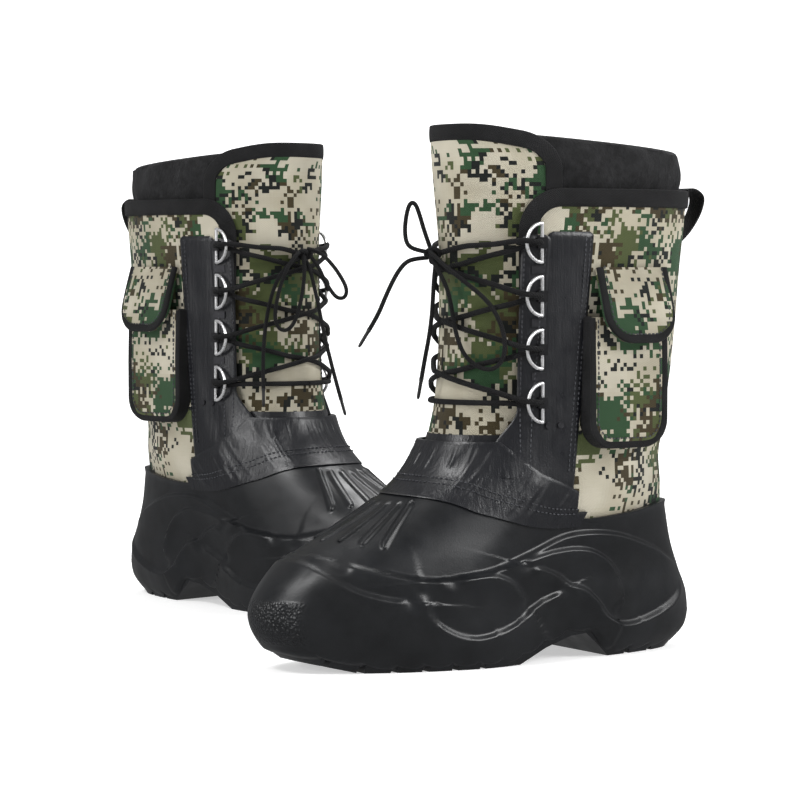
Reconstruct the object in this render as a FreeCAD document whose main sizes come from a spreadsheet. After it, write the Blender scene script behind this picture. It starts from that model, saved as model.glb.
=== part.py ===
"""Pair of insulated hunting boots, as a parametric FreeCAD document.

Each boot is modelled in its own boot frame: +X forward from the heel, +Y to the outer (lateral)
side, +Z up, with the ground at z = 0. The right boot is the left one mirrored across its length.
Both are then turned and placed as a pair, toes converging, and the pair's origin is the centre of
its bounding box, on the ground. Lengths are millimetres, angles degrees.
"""
import FreeCAD, Part
import Sketcher
import math
import os

Vector = FreeCAD.Vector
doc = FreeCAD.newDocument("HuntingBoots")

# ---------------------------------------------------------------- driving dimensions
SIZES = [
    # the moulded foot
    ("foot_length", 312.0), ("ball_width", 108.0), ("heel_width", 77.0),
    ("sole_height", 24.0), ("shell_wall", 7.5), ("shell_floor", 5.0), ("bond_gap", 0.2),
    ("arch_rise", 16.0), ("toe_spring", 13.0), ("lug_depth", 6.0), ("lug_gap", 5.0),
    ("rim_rear", 97.0), ("rim_side", 89.0), ("rim_front", 111.0),
    # the shaft
    ("collar_height", 294.0), ("shaft_length", 174.0), ("shaft_width", 100.0),
    ("panel_wall", 2.5), ("layer_gap", 0.4), ("binding_width", 10.5),
    ("quarter_front", 129.0), ("tongue_rise", 40.0), ("tongue_wall", 2.7), ("tongue_rear", 103.0),
    ("liner_wall", 6.0), ("liner_rise", 22.0), ("liner_slope", 13.0), ("footbed_thickness", 5.0),
    # leather trim
    ("leather", 1.6), ("vamp_rear", 81.0), ("vamp_side", 118.0), ("vamp_front", 147.0),
    ("eyestay_rear", 85.0), ("eyestay_front", 128.0), ("eyestay_drop", 25.0),
    # lacing hardware
    ("ring_bar_x", 117.0), ("ring_drop", 33.0), ("ring_pitch", 33.0), ("ring_radius", 12.0),
    ("wire_radius", 1.1), ("ring_lift", 22.0), ("pin_clearance", 0.08),
    ("clip_length", 6.0), ("clip_height", 7.0), ("clip_thickness", 3.8),
    ("plate_length", 9.0), ("plate_height", 5.0), ("plate_thickness", 1.2),
    ("rivet_radius", 2.0), ("rivet_height", 1.0), ("rivet_pitch", 8.0),
    ("lace_diameter", 2.8), ("knot_radius", 4.6), ("aglet_length", 13.0), ("aglet_radius", 1.2),
    # cargo pocket and pull loop
    ("pocket_place", 55.0), ("pocket_width", 54.0), ("pocket_height", 82.0),
    ("pocket_drop", 79.0), ("pocket_depth", 11.5), ("pocket_mouth", 8.0), ("pocket_wall", 1.5),
    ("flap_width", 57.0), ("flap_height", 50.0), ("flap_drop", 49.0), ("flap_thickness", 2.5),
    ("flap_tilt", 14.5), ("flap_corner", 20.0),
    ("tab_width", 16.0), ("tab_height", 30.0), ("tab_reach", 13.0), ("tab_webbing", 2.0),
    ("tab_drop", 4.0),
    # how the pair stands
    ("left_yaw", 209.8), ("right_yaw", -44.1), ("pair_spread", 348.9), ("pair_stagger", 335.4),
]
sheet = doc.addObject("Spreadsheet::Sheet", "sizes")
for row, (alias, value) in enumerate(SIZES, start=1):
    sheet.set(f"A{row}", alias)
    sheet.set(f"B{row}", str(value))
    sheet.setAlias(f"B{row}", alias)
doc.recompute()
size = {alias: float(sheet.get(alias)) for alias, _ in SIZES}


def bind(feature, prop, formula):
    """Tie a property of a feature to the size sheet."""
    feature.setExpression(prop, formula)


def cell(alias):
    """The expression that reads one size."""
    return f"<<sizes>>.{alias}"


# ---------------------------------------------------------------- the boot's outer form
# The form at the size it was drawn at. Each station is one level cut:
# height, rear x, front x, half width at heel, waist and ball (outer side), ball (inner side).
DRAWN_LENGTH = 312.0
DRAWN_BALL = 108.0
DRAWN_HEEL = 77.0
DRAWN_SHAFT_LENGTH = 174.0
DRAWN_SHAFT_WIDTH = 100.0
DRAWN_COLLAR = 294.0
FOOT_TOP = 122.0            # above this height the stations belong to the shaft
FOOT_STATIONS = [
    (0.0, -3.0, 262.0, 35.0, 40.0, 54.0, 49.0),
    (14.0, -18.0, 282.0, 38.5, 42.0, 57.0, 52.0),
    (34.0, -19.0, 292.0, 39.5, 43.0, 57.0, 51.0),
    (52.0, -12.0, 284.0, 38.5, 43.0, 55.0, 49.0),
    (68.0, -6.0, 265.0, 38.0, 43.0, 53.0, 48.0),
    (84.0, -2.0, 234.0, 38.5, 44.0, 51.0, 47.0),
    (100.0, 1.0, 205.0, 39.0, 46.0, 50.0, 47.0),
    (FOOT_TOP, 2.0, 178.0, 41.0, 48.0, 49.0, 48.0),
]
SHAFT_STATIONS = [
    (150.0, 0.0, 166.0, 44.0, 49.0, 49.0, 49.0),
    (190.0, -4.0, 160.5, 46.0, 50.0, 49.5, 49.5),
    (240.0, -9.0, 159.0, 48.0, 50.0, 50.0, 50.0),
    (290.0, -15.0, 159.0, 49.0, 50.0, 50.0, 50.0),
    (360.0, -16.0, 159.0, 49.0, 50.0, 50.0, 50.0),
]
LEVELS = 18                 # even steps from the ground to the top of the form
SQUARENESS = 2.3            # exponent of the cuts' rounded ends; 2 would be an ellipse
CUT_POINTS = 28             # points on each level cut
REAR_EDGE = -60.0           # beyond the boot's back and front, for the trimming outlines
FRONT_EDGE = 330.0
SIDE_REACH = 90.0           # half the depth of a trimming outline


def scaled_stations():
    """The stations at the sheet's sizes: the foot follows its own length and widths."""
    stations = []
    length = size["foot_length"] / DRAWN_LENGTH
    ball = size["ball_width"] / DRAWN_BALL
    heel = size["heel_width"] / DRAWN_HEEL
    for height, rear, front, heel_half, waist, outer, inner in FOOT_STATIONS:
        stations.append((height, rear, rear + (front - rear) * length,
                         heel_half * heel, waist * ball, outer * ball, inner * ball))
    tall = (size["collar_height"] - FOOT_TOP) / (DRAWN_COLLAR - FOOT_TOP)
    deep = size["shaft_length"] / DRAWN_SHAFT_LENGTH
    wide = size["shaft_width"] / DRAWN_SHAFT_WIDTH
    for height, rear, front, heel_half, waist, outer, inner in SHAFT_STATIONS:
        stations.append((FOOT_TOP + (height - FOOT_TOP) * tall, rear, rear + (front - rear) * deep,
                         heel_half * wide, waist * wide, outer * wide, inner * wide))
    return stations


def level_cut(height):
    """The level cut at any height: a cubic through the stations, its slopes from their neighbours."""
    stations = scaled_stations()
    last = len(stations) - 2
    index = last
    for number in range(last + 1):
        if height <= stations[number + 1][0]:
            index = number
            break
    low, high = stations[index], stations[index + 1]
    before = stations[max(index - 1, 0)]
    after = stations[min(index + 2, len(stations) - 1)]
    span = high[0] - low[0]
    share = (height - low[0]) / span
    values = [height]
    for column in range(1, len(low)):
        slope_low = (high[column] - before[column]) / (high[0] - before[0]) * span
        slope_high = (after[column] - low[column]) / (after[0] - low[0]) * span
        values.append((2 * share ** 3 - 3 * share ** 2 + 1) * low[column]
                      + (share ** 3 - 2 * share ** 2 + share) * slope_low
                      + (3 * share ** 2 - 2 * share ** 3) * high[column]
                      + (share ** 3 - share ** 2) * slope_high)
    return tuple(values)


def smooth(share):
    """Ease from 0 to 1 with level ends."""
    share = min(max(share, 0.0), 1.0)
    return share * share * (3.0 - 2.0 * share)


def half_width(station, along, outer_side):
    """Half width at a share of the length: heel, then waist, then ball."""
    _, _, _, heel, waist, ball_outer, ball_inner = station
    ball = ball_outer if outer_side else ball_inner
    if along < 0.36:
        return heel + (waist - heel) * smooth(along / 0.36)
    return waist + (ball - waist) * smooth((along - 0.36) / 0.30)


def cut_point(station, turn, inset):
    """One point of a level cut: a superellipse whose width changes along its length."""
    height, rear, front = station[:3]
    middle = (rear + front) / 2
    reach = (front - rear) / 2
    cosine = math.cos(turn)
    sine = math.sin(turn)
    radius = (abs(cosine) ** SQUARENESS + abs(sine) ** SQUARENESS) ** (-1 / SQUARENESS)
    along = (cosine * radius + 1) / 2
    width = half_width(station, along, sine >= 0)
    return Vector(middle + (reach - inset) * cosine * radius, (width - inset) * sine * radius, height)


def boot_form(inset):
    """Solid of the whole boot's form, its walls moved in by inset; every cut has the same knots."""
    wires = []
    knots = [float(number) for number in range(CUT_POINTS + 1)]
    top = scaled_stations()[-1][0]
    for step in range(LEVELS + 1):
        station = level_cut(top * step / LEVELS)
        points = [cut_point(station, 2 * math.pi * step / CUT_POINTS, inset)
                  for step in range(CUT_POINTS)]
        curve = Part.BSplineCurve()
        curve.interpolate(Points=points, PeriodicFlag=True, Parameters=knots)
        wires.append(Part.Wire(curve.toShape()))
    return Part.makeLoft(wires, True)


form_cache = {}


def form(inset):
    """The boot's form at one inset, made once."""
    if inset not in form_cache:
        form_cache[inset] = boot_form(inset)
    return form_cache[inset]


def wall(outer_inset, inner_inset):
    """A skin between two insets of the form."""
    return form(outer_inset).cut(form(inner_inset))


def turn_at(height, x):
    """The turn of a level cut whose point lies at x, on the outer side."""
    station = level_cut(height)
    low, high = 0.0, math.pi
    for _ in range(40):
        turn = (low + high) / 2
        if cut_point(station, turn, 0.0).x > x:
            low = turn
        else:
            high = turn
    return (low + high) / 2


def side_frame(x, height, stand_off):
    """Placement on the outer side: X' forward along the surface, Y' outward, Z' up."""
    station = level_cut(height)
    turn = turn_at(height, x)
    point = cut_point(station, turn, 0.0)
    ahead = cut_point(station, turn - 0.01, 0.0) - cut_point(station, turn + 0.01, 0.0)
    heading = math.degrees(math.atan2(ahead.y, ahead.x))
    rotation = FreeCAD.Rotation(Vector(0, 0, 1), heading)
    origin = point + rotation.multVec(Vector(0, stand_off, 0))
    return FreeCAD.Placement(origin, rotation)


# ---------------------------------------------------------------- trimming outlines
def upright_prism(edges):
    """Extrude a closed outline, drawn in the boot's side view, through both sides."""
    face = Part.Face(Part.Wire(edges))
    prism = face.extrude(Vector(0, 2 * SIDE_REACH, 0))
    prism.translate(Vector(0, -SIDE_REACH, 0))
    return prism


def side_polygon(points):
    """A prism from side-view points (x, z)."""
    corners = [Vector(x, 0, z) for x, z in points]
    return upright_prism(Part.makePolygon(corners + corners[:1]).Edges)


def rim_line(lift):
    """The shell's top line in the side view, moved up by lift."""
    points = [(REAR_EDGE, size["rim_rear"]), (0.0, size["rim_rear"] - 1.0), (50.0, size["rim_side"] + 1.5),
              (95.0, size["rim_side"]), (140.0, (size["rim_side"] + size["rim_front"]) / 2 - 1.0),
              (195.0, size["rim_front"]), (FRONT_EDGE, size["rim_front"] + 2.0)]
    curve = Part.BSplineCurve()
    curve.interpolate(Points=[Vector(x, 0, z + lift) for x, z in points])
    return curve.toShape()


ABOVE = 400.0               # safely over the boot's top


def above_rim(lift):
    """Everything above the shell's top line."""
    edge = rim_line(lift)
    start = edge.Vertexes[0].Point
    end = edge.Vertexes[-1].Point
    sides = [Part.makeLine(end, Vector(end.x, 0, ABOVE)),
             Part.makeLine(Vector(end.x, 0, ABOVE), Vector(start.x, 0, ABOVE)),
             Part.makeLine(Vector(start.x, 0, ABOVE), start)]
    return upright_prism([edge] + sides)


def rounded_corner_outline(rear, front, top, bottom, radius, round_front):
    """Side-view rectangle with one rounded top corner, at its front or at its rear."""
    if round_front:
        start, end = Vector(front - radius, 0, top), Vector(front, 0, top - radius)
        middle = Vector(front - radius * (1 - math.sqrt(0.5)), 0, top - radius * (1 - math.sqrt(0.5)))
        far_top, far_bottom = Vector(rear, 0, top), Vector(rear, 0, bottom)
        near_bottom = Vector(front, 0, bottom)
    else:
        start, end = Vector(rear + radius, 0, top), Vector(rear, 0, top - radius)
        middle = Vector(rear + radius * (1 - math.sqrt(0.5)), 0, top - radius * (1 - math.sqrt(0.5)))
        far_top, far_bottom = Vector(front, 0, top), Vector(front, 0, bottom)
        near_bottom = Vector(rear, 0, bottom)
    return upright_prism([Part.Arc(start, middle, end).toShape(), Part.makeLine(end, near_bottom),
                          Part.makeLine(near_bottom, far_bottom), Part.makeLine(far_bottom, far_top),
                          Part.makeLine(far_top, start)])


COLLAR_CORNER = 26.0        # radius of the quarters' front top corner
TONGUE_CORNER = 24.0        # radius of the tongue's rear top corner
BINDING_END = 62.0          # how far below the collar the binding's front leg ends


def quarter_outline(inset):
    """Side view of a quarter, its top and front edges moved in by inset."""
    return rounded_corner_outline(REAR_EDGE, size["quarter_front"] - inset, size["collar_height"] - inset,
                                  0.0, COLLAR_CORNER - inset, True)


def tongue_outline(inset):
    """Side view of the tongue, its top and rear edges moved in by inset."""
    top = size["collar_height"] + size["tongue_rise"]
    return rounded_corner_outline(size["tongue_rear"] + inset, FRONT_EDGE, top - inset,
                                  0.0, TONGUE_CORNER - inset, False)


def vamp_outline(lift):
    """Side view of the vamp: a round rear end, then a rising upper edge."""
    rear = size["vamp_rear"]
    step = 9.0
    return [(rear - lift, 0.0), (rear - lift, size["vamp_side"] - step + lift),
            (rear + step - lift, size["vamp_side"] + lift),
            (size["quarter_front"], size["vamp_front"] - 5.0 + lift),
            (size["quarter_front"] + 18.0, size["vamp_front"] + lift), (FRONT_EDGE, size["vamp_front"] + lift),
            (FRONT_EDGE, 0.0)]


# ---------------------------------------------------------------- the moulded foot
# The arch's underside, heel to ball: (share of the foot's length, share of the arch's rise).
ARCH = [(0.190, -0.06), (0.232, 0.62), (0.257, 1.0), (0.295, 0.94), (0.360, 0.56), (0.436, -0.06)]
TOE_START = 0.77            # share of the length where the toe starts to lift
TOE_RUN = 58.0              # length over which it lifts by the toe spring
FRONT_GROOVES = (0.516, 14.0, 6)    # first groove's share of the length, lug width, number of grooves
HEEL_GROOVES = (0.061, 17.0, 2)
GROOVE_TAPER = 1.0          # each side of a groove leans in by this much
BELOW = -2.0                # safely under the ground


def make_outsole():
    """Lugged rubber bottom: arch cut, toe spring, cross grooves, flat top."""
    length, top = size["foot_length"], size["sole_height"]
    sole = form(-SHELL_PROUD).common(side_polygon([(REAR_EDGE, 0), (FRONT_EDGE, 0),
                                                   (FRONT_EDGE, top), (REAR_EDGE, top)]))
    arch = [(along * length, rise * size["arch_rise"]) for along, rise in ARCH]
    toe_start = TOE_START * length
    toe_slope = size["toe_spring"] / TOE_RUN
    toe = [(toe_start, 0), (FRONT_EDGE, toe_slope * (FRONT_EDGE - toe_start)), (FRONT_EDGE, BELOW), (toe_start, BELOW)]
    sole = sole.cut(side_polygon(arch)).cut(side_polygon(toe))
    for first, lug_width, count in (FRONT_GROOVES, HEEL_GROOVES):
        for number in range(count):
            start = first * length + number * (size["lug_gap"] + lug_width)
            end = start + size["lug_gap"]
            floor = size["lug_depth"] + max(0.0, start - toe_start) * toe_slope
            sole = sole.cut(side_polygon([(start, BELOW), (end, BELOW),
                                          (end - GROOVE_TAPER, floor), (start + GROOVE_TAPER, floor)]))
    return sole


SHELL_PROUD = 1.5           # the moulding stands this far proud of the panels above it


def shell_inset():
    return size["shell_wall"] - SHELL_PROUD


def make_foot_shell():
    """Moulded foot: closed floor, open rim."""
    bottom = size["sole_height"] + size["bond_gap"]
    outside = form(-SHELL_PROUD).cut(above_rim(0.0))
    outside = outside.common(side_polygon([(REAR_EDGE, bottom), (FRONT_EDGE, bottom),
                                           (FRONT_EDGE, 200), (REAR_EDGE, 200)]))
    floor = bottom + size["shell_floor"]
    hollow = form(shell_inset()).common(side_polygon([(REAR_EDGE, floor), (FRONT_EDGE, floor),
                                                      (FRONT_EDGE, 300), (REAR_EDGE, 300)]))
    return outside.cut(hollow)


def liner_inset():
    return shell_inset() + size["layer_gap"]


def liner_floor():
    return size["sole_height"] + size["bond_gap"] + size["shell_floor"] + size["bond_gap"]


def make_liner():
    """Insulated bootie with a raised cuff, open at its top."""
    top = size["collar_height"] + size["liner_rise"]
    front_top = top + size["liner_slope"]
    span = [(REAR_EDGE, liner_floor()), (FRONT_EDGE, liner_floor()), (FRONT_EDGE, front_top),
            (size["tongue_rear"], front_top), (0.0, top), (REAR_EDGE, top)]
    outside = form(liner_inset()).common(side_polygon(span))
    floor = liner_floor() + size["liner_wall"]
    hollow = [(REAR_EDGE, floor), (FRONT_EDGE, floor), (FRONT_EDGE, 400), (REAR_EDGE, 400)]
    return outside.cut(form(liner_inset() + size["liner_wall"]).common(side_polygon(hollow)))


def make_footbed():
    """Loose insulating sole inside the liner."""
    low = liner_floor() + size["liner_wall"] + size["bond_gap"]
    high = low + size["footbed_thickness"]
    slab = side_polygon([(REAR_EDGE, low), (FRONT_EDGE, low), (FRONT_EDGE, high), (REAR_EDGE, high)])
    return form(liner_inset() + size["liner_wall"] + size["layer_gap"]).common(slab)


# ---------------------------------------------------------------- the textile upper
def half_space(outer_side, gap):
    """A block on one side of the boot's middle plane."""
    block = Part.makeBox(FRONT_EDGE - REAR_EDGE, SIDE_REACH, 420.0, Vector(REAR_EDGE, gap, 0))
    if not outer_side:
        block = block.mirror(Vector(0, 0, 0), Vector(0, 1, 0))
    return block


def make_quarter(outer_side):
    """Camouflage side panel, from the back seam to the lacing edge."""
    skin = wall(0.0, size["panel_wall"]).common(quarter_outline(size["binding_width"] + size["bond_gap"]))
    skin = skin.common(above_rim(size["bond_gap"]))
    return skin.common(half_space(outer_side, size["bond_gap"]))


def make_collar_binding():
    """Binding along the top of both quarters and down their front edges."""
    skin = wall(0.0, size["panel_wall"]).common(quarter_outline(0.0))
    skin = skin.cut(quarter_outline(size["binding_width"]))
    low = size["collar_height"] - BINDING_END
    keep = [(REAR_EDGE, low), (FRONT_EDGE, low), (FRONT_EDGE, 400), (REAR_EDGE, 400)]
    return skin.common(side_polygon(keep))


def tongue_inset():
    return size["panel_wall"] + size["layer_gap"]


def make_tongue():
    """Tall tongue, wrapping round the front under the quarters' edges."""
    skin = wall(tongue_inset(), tongue_inset() + size["tongue_wall"])
    return skin.common(tongue_outline(size["binding_width"] + size["bond_gap"])).common(above_rim(size["bond_gap"]))


def make_tongue_binding():
    skin = wall(tongue_inset(), tongue_inset() + size["tongue_wall"])
    edge = skin.common(tongue_outline(0.0)).cut(tongue_outline(size["binding_width"]))
    return edge.common(above_rim(size["bond_gap"]))


def leather_skin():
    return wall(-size["leather"] - size["bond_gap"], -size["bond_gap"])


def make_vamp():
    """Leather band over the instep, stitched to the shell's rim."""
    return leather_skin().common(side_polygon(vamp_outline(0.0))).common(above_rim(size["bond_gap"]))


def make_eyestay(outer_side):
    """Leather strip that carries the lacing rings."""
    top = size["collar_height"] - size["eyestay_drop"]
    strip = [(size["eyestay_rear"], 20.0), (size["eyestay_front"], 20.0),
             (size["eyestay_front"], top - 8), (size["eyestay_front"] - 8, top), (size["eyestay_rear"], top)]
    skin = leather_skin().common(side_polygon(strip)).common(half_space(outer_side, 0.0))
    return skin.cut(side_polygon(vamp_outline(size["bond_gap"])))


# ---------------------------------------------------------------- bodies drawn with sketches
def new_body(name):
    return doc.addObject("PartDesign::Body", name)


def plane_of(body, role):
    return next(item for item in body.Origin.OriginFeatures if item.Role == role)


def new_sketch(body, name, role):
    sketch = body.newObject("Sketcher::SketchObject", name)
    sketch.AttachmentSupport = [(plane_of(body, role), "")]
    sketch.MapMode = "FlatFace"
    return sketch


def draw_rectangle(sketch, low_x, low_y, high_x, high_y):
    """Rectangle held by four distances; each bound is (value, expression)."""
    corners = [Vector(low_x[0], low_y[0], 0), Vector(high_x[0], low_y[0], 0),
               Vector(high_x[0], high_y[0], 0), Vector(low_x[0], high_y[0], 0)]
    first = sketch.GeometryCount
    for number in range(4):
        sketch.addGeometry(Part.LineSegment(corners[number], corners[(number + 1) % 4]), False)
    for number in range(4):
        sketch.addConstraint(Sketcher.Constraint("Coincident", first + number, 2, first + (number + 1) % 4, 1))
    for number, kind in enumerate(["Horizontal", "Vertical", "Horizontal", "Vertical"]):
        sketch.addConstraint(Sketcher.Constraint(kind, first + number))
    for axis, (point, bound) in enumerate([(1, low_x), (1, low_y), (2, high_x), (2, high_y)]):
        line = first if point == 1 else first + 1
        kind = "DistanceX" if axis % 2 == 0 else "DistanceY"
        index = sketch.addConstraint(Sketcher.Constraint(kind, -1, 1, line, point, bound[0]))
        bind(sketch, f"Constraints[{index}]", bound[1])


def pad_sketch(body, name, sketch, length, formula, symmetric):
    pad = body.newObject("PartDesign::Pad", name)
    pad.Profile = sketch
    pad.Length = length
    bind(pad, "Length", formula)
    pad.Midplane = symmetric
    return pad


def make_clip_body():
    """Riveted clip that holds a ring's bar, with a running bore."""
    body = new_body("ring_clip")
    sketch = new_sketch(body, "clip_section", "XY_Plane")
    half = size["clip_length"] / 2
    deep = size["clip_thickness"] / 2
    draw_rectangle(sketch, (-half, f"-{cell('clip_length')} / 2"), (-deep, f"-{cell('clip_thickness')} / 2"),
                   (half, f"{cell('clip_length')} / 2"), (deep, f"{cell('clip_thickness')} / 2"))
    bore = size["wire_radius"] + size["pin_clearance"]
    circle = sketch.addGeometry(Part.Circle(Vector(0, 0, 0), Vector(0, 0, 1), bore), False)
    sketch.addConstraint(Sketcher.Constraint("Coincident", circle, 3, -1, 1))
    index = sketch.addConstraint(Sketcher.Constraint("Radius", circle, bore))
    bind(sketch, f"Constraints[{index}]", f"{cell('wire_radius')} + {cell('pin_clearance')}")
    pad_sketch(body, "clip_pad", sketch, size["clip_height"], cell("clip_height"), True)
    return body


def make_pull_tab_body():
    """Webbing loop at the back of the collar: a closed band, open through the middle."""
    body = new_body("pull_loop")
    outer = new_sketch(body, "loop_outside", "XZ_Plane")
    draw_rectangle(outer, (-size["tab_reach"], f"-{cell('tab_reach')}"),
                   (-size["tab_height"], f"-{cell('tab_height')}"), (-0.001, "-0.001"), (-0.001, "-0.001"))
    pad_sketch(body, "loop_band", outer, size["tab_width"], cell("tab_width"), True)
    inner = new_sketch(body, "loop_inside", "XZ_Plane")
    web = size["tab_webbing"]
    draw_rectangle(inner, (web - size["tab_reach"], f"{cell('tab_webbing')} - {cell('tab_reach')}"),
                   (web - size["tab_height"], f"{cell('tab_webbing')} - {cell('tab_height')}"),
                   (-web, f"-{cell('tab_webbing')}"), (-web, f"-{cell('tab_webbing')}"))
    hole = body.newObject("PartDesign::Pocket", "loop_hole")
    hole.Profile = inner
    hole.Type = 1
    hole.Midplane = True
    doc.recompute()
    corners = [f"Edge{number + 1}" for number, edge in enumerate(hole.Shape.Edges)
               if abs(edge.Vertexes[0].Y - edge.Vertexes[-1].Y) > 1 and edge.BoundBox.XMin < -size["tab_reach"] + 0.1]
    rounding = body.newObject("PartDesign::Fillet", "loop_rounding")
    rounding.Base = (hole, corners)
    rounding.Radius = 5.0
    rounding.setExpression("Radius", f"{cell('tab_webbing')} + 3")
    return body


def make_rivet():
    rivet = doc.addObject("Part::Cylinder", "rivet")
    bind(rivet, "Radius", cell("rivet_radius"))
    bind(rivet, "Height", cell("rivet_height"))
    return rivet


def make_ring():
    """D-ring: half a torus closed by a straight bar, its corners rounded by the wire."""
    bow = doc.addObject("Part::Torus", "ring_bow")
    bind(bow, "Radius1", cell("ring_radius"))
    bind(bow, "Radius2", cell("wire_radius"))
    bow.Angle3 = 180
    forward = FreeCAD.Rotation(Vector(0, 0, 1), Vector(1, 0, 0), Vector(0, 1, 0))
    bow.Placement = FreeCAD.Placement(Vector(0, 0, 0), forward)
    bar = doc.addObject("Part::Cylinder", "ring_bar")
    bind(bar, "Radius", cell("wire_radius"))
    bind(bar, "Height", f"2 * {cell('ring_radius')}")
    bar.Placement = FreeCAD.Placement(Vector(0, 0, -size["ring_radius"]), FreeCAD.Rotation())
    bind(bar, "Placement.Base.z", f"-{cell('ring_radius')}")
    corners = []
    for sign, name in ((1, "ring_top"), (-1, "ring_foot")):
        corner = doc.addObject("Part::Sphere", name)
        bind(corner, "Radius", cell("wire_radius"))
        bind(corner, "Placement.Base.z", f"{sign} * {cell('ring_radius')}")
        corners.append(corner)
    ring = doc.addObject("Part::MultiFuse", "d_ring")
    ring.Shapes = [bow, bar] + corners
    return ring


# ---------------------------------------------------------------- cargo pocket
def pocket_frame():
    return side_frame(size["pocket_place"], size["collar_height"] - size["pocket_drop"], size["bond_gap"] + 0.1)


def make_pocket():
    """Bellows pocket, deeper at its bottom, open along its top."""
    drop, half = size["pocket_height"], size["pocket_width"] / 2
    wall_size = size["pocket_wall"]

    def block(side, bottom, mouth, depth, back, top):
        profile = [Vector(-side, back, bottom), Vector(-side, depth - 3.0, bottom), Vector(-side, depth, bottom + 5.0),
                   Vector(-side, depth, bottom + 0.45 * drop), Vector(-side, mouth, top), Vector(-side, back, top)]
        face = Part.Face(Part.makePolygon(profile + profile[:1]))
        return face.extrude(Vector(2 * side, 0, 0))

    outside = block(half, -drop, size["pocket_mouth"], size["pocket_depth"], -15.0, 0.0)
    hollow = block(half - wall_size, wall_size - drop, size["pocket_mouth"] - wall_size,
                   size["pocket_depth"] - wall_size, -15.0, 0.01)
    outside.Placement = pocket_frame()
    hollow.Placement = pocket_frame()
    seat = form(-size["bond_gap"])
    back = form(-size["bond_gap"] - 0.8)
    return outside.cut(seat).cut(hollow.cut(back))


def flap_hinge():
    """Placement of the flap's hinge line, on the outer side above the pocket."""
    roll = size["flap_thickness"] / 2
    return side_frame(size["pocket_place"] - 2.0, size["collar_height"] - size["flap_drop"],
                      size["bond_gap"] + 0.5 + roll)


def make_flap():
    """Rounded flap hung from a rolled top edge, tilted out over the pocket."""
    half = size["flap_width"] / 2
    corner = size["flap_corner"]
    low = -size["flap_height"]
    thick = size["flap_thickness"]
    edges = [Part.makeLine(Vector(-half, 0, 0), Vector(half, 0, 0)),
             Part.makeLine(Vector(half, 0, 0), Vector(half, 0, low + corner)),
             Part.Arc(Vector(half, 0, low + corner),
                      Vector(half - corner * (1 - math.sqrt(0.5)), 0, low + corner * (1 - math.sqrt(0.5))),
                      Vector(half - corner, 0, low)).toShape(),
             Part.makeLine(Vector(half - corner, 0, low), Vector(corner - half, 0, low)),
             Part.Arc(Vector(corner - half, 0, low),
                      Vector(corner * (1 - math.sqrt(0.5)) - half, 0, low + corner * (1 - math.sqrt(0.5))),
                      Vector(-half, 0, low + corner)).toShape(),
             Part.makeLine(Vector(-half, 0, low + corner), Vector(-half, 0, 0))]
    plate = Part.Face(Part.Wire(edges)).extrude(Vector(0, thick, 0))
    plate.translate(Vector(0, -thick / 2, 0))
    plate.rotate(Vector(0, 0, 0), Vector(1, 0, 0), size["flap_tilt"])
    roll = Part.makeCylinder(thick / 2, 2 * half, Vector(-half, 0, 0), Vector(1, 0, 0))
    flap = plate.fuse(roll).removeSplitter()
    flap.Placement = flap_hinge()
    return flap


# ---------------------------------------------------------------- lacing
RINGS_PER_SIDE = 4


def ring_height(number):
    """Height of a ring's middle; number 0 is the top one."""
    return size["collar_height"] - size["ring_drop"] - number * size["ring_pitch"]


def ring_frame(number, lift=0.0):
    """Placement of a ring's bar on the outer side; X' runs forward, lifted off the leather."""
    stand_off = size["leather"] + 2 * size["bond_gap"] + size["clip_thickness"] / 2
    seat = side_frame(size["ring_bar_x"], ring_height(number), stand_off)
    turn = FreeCAD.Rotation(Vector(0, 0, 1), lift)
    return FreeCAD.Placement(seat.Base, seat.Rotation.multiply(turn))


def mirrored(shape):
    return shape.mirror(Vector(0, 0, 0), Vector(0, 1, 0))


def placed(shape, placement):
    copy = shape.copy()
    copy.Placement = placement.multiply(copy.Placement)
    return copy


def round_path(points, report=None):
    """Straight runs joined by tangent arcs, each as large as its two runs allow."""
    edges = []
    start = points[0]
    radii = []
    for before, corner, after in zip(points, points[1:], points[2:]):
        way_in = corner - before
        way_out = after - corner
        half_turn = way_in.getAngle(way_out) / 2
        cut_back = 0.45 * min(way_in.Length, way_out.Length)
        radii.append(cut_back / math.tan(half_turn))
        way_in.normalize()
        way_out.normalize()
        first = corner - way_in * cut_back
        last = corner + way_out * cut_back
        inward = way_out - way_in
        inward.normalize()
        centre = corner + inward * (radii[-1] / math.cos(half_turn))
        middle = centre - inward * radii[-1]
        edges.append(Part.LineSegment(start, first).toShape())
        edges.append(Part.Arc(first, middle, last).toShape())
        start = last
    edges.append(Part.LineSegment(start, points[-1]).toShape())
    if report:
        print(f"{report}: smallest bend radius {min(radii):.1f} mm of {len(radii)} bends")
    return Part.Wire(edges)


def cord_tube(points, diameter, report=None):
    """Round cord along a path; its volume is compared with its section times its length."""
    path = round_path(points, report)
    circle = Part.Wire(Part.makeCircle(diameter / 2, points[0], points[1] - points[0]))
    tube = path.makePipeShell([circle], True, False)
    expected = math.pi * diameter ** 2 / 4 * path.Length
    if report:
        print(f"{report}: length {path.Length:.1f} mm, volume {tube.Volume:.1f} of {expected:.1f} mm3")
    if abs(tube.Volume / expected - 1) > 0.02:
        raise ValueError("cord tube is not its section times its length")
    return tube


LACE_LIFT = 1.0             # the lace's clearance over the tongue, as its runs are straight


def lace_point(height, turn, out):
    """Point in front of the form: turn is the level cut's, out is how far outside it."""
    return cut_point(level_cut(height), turn, -out)


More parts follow.
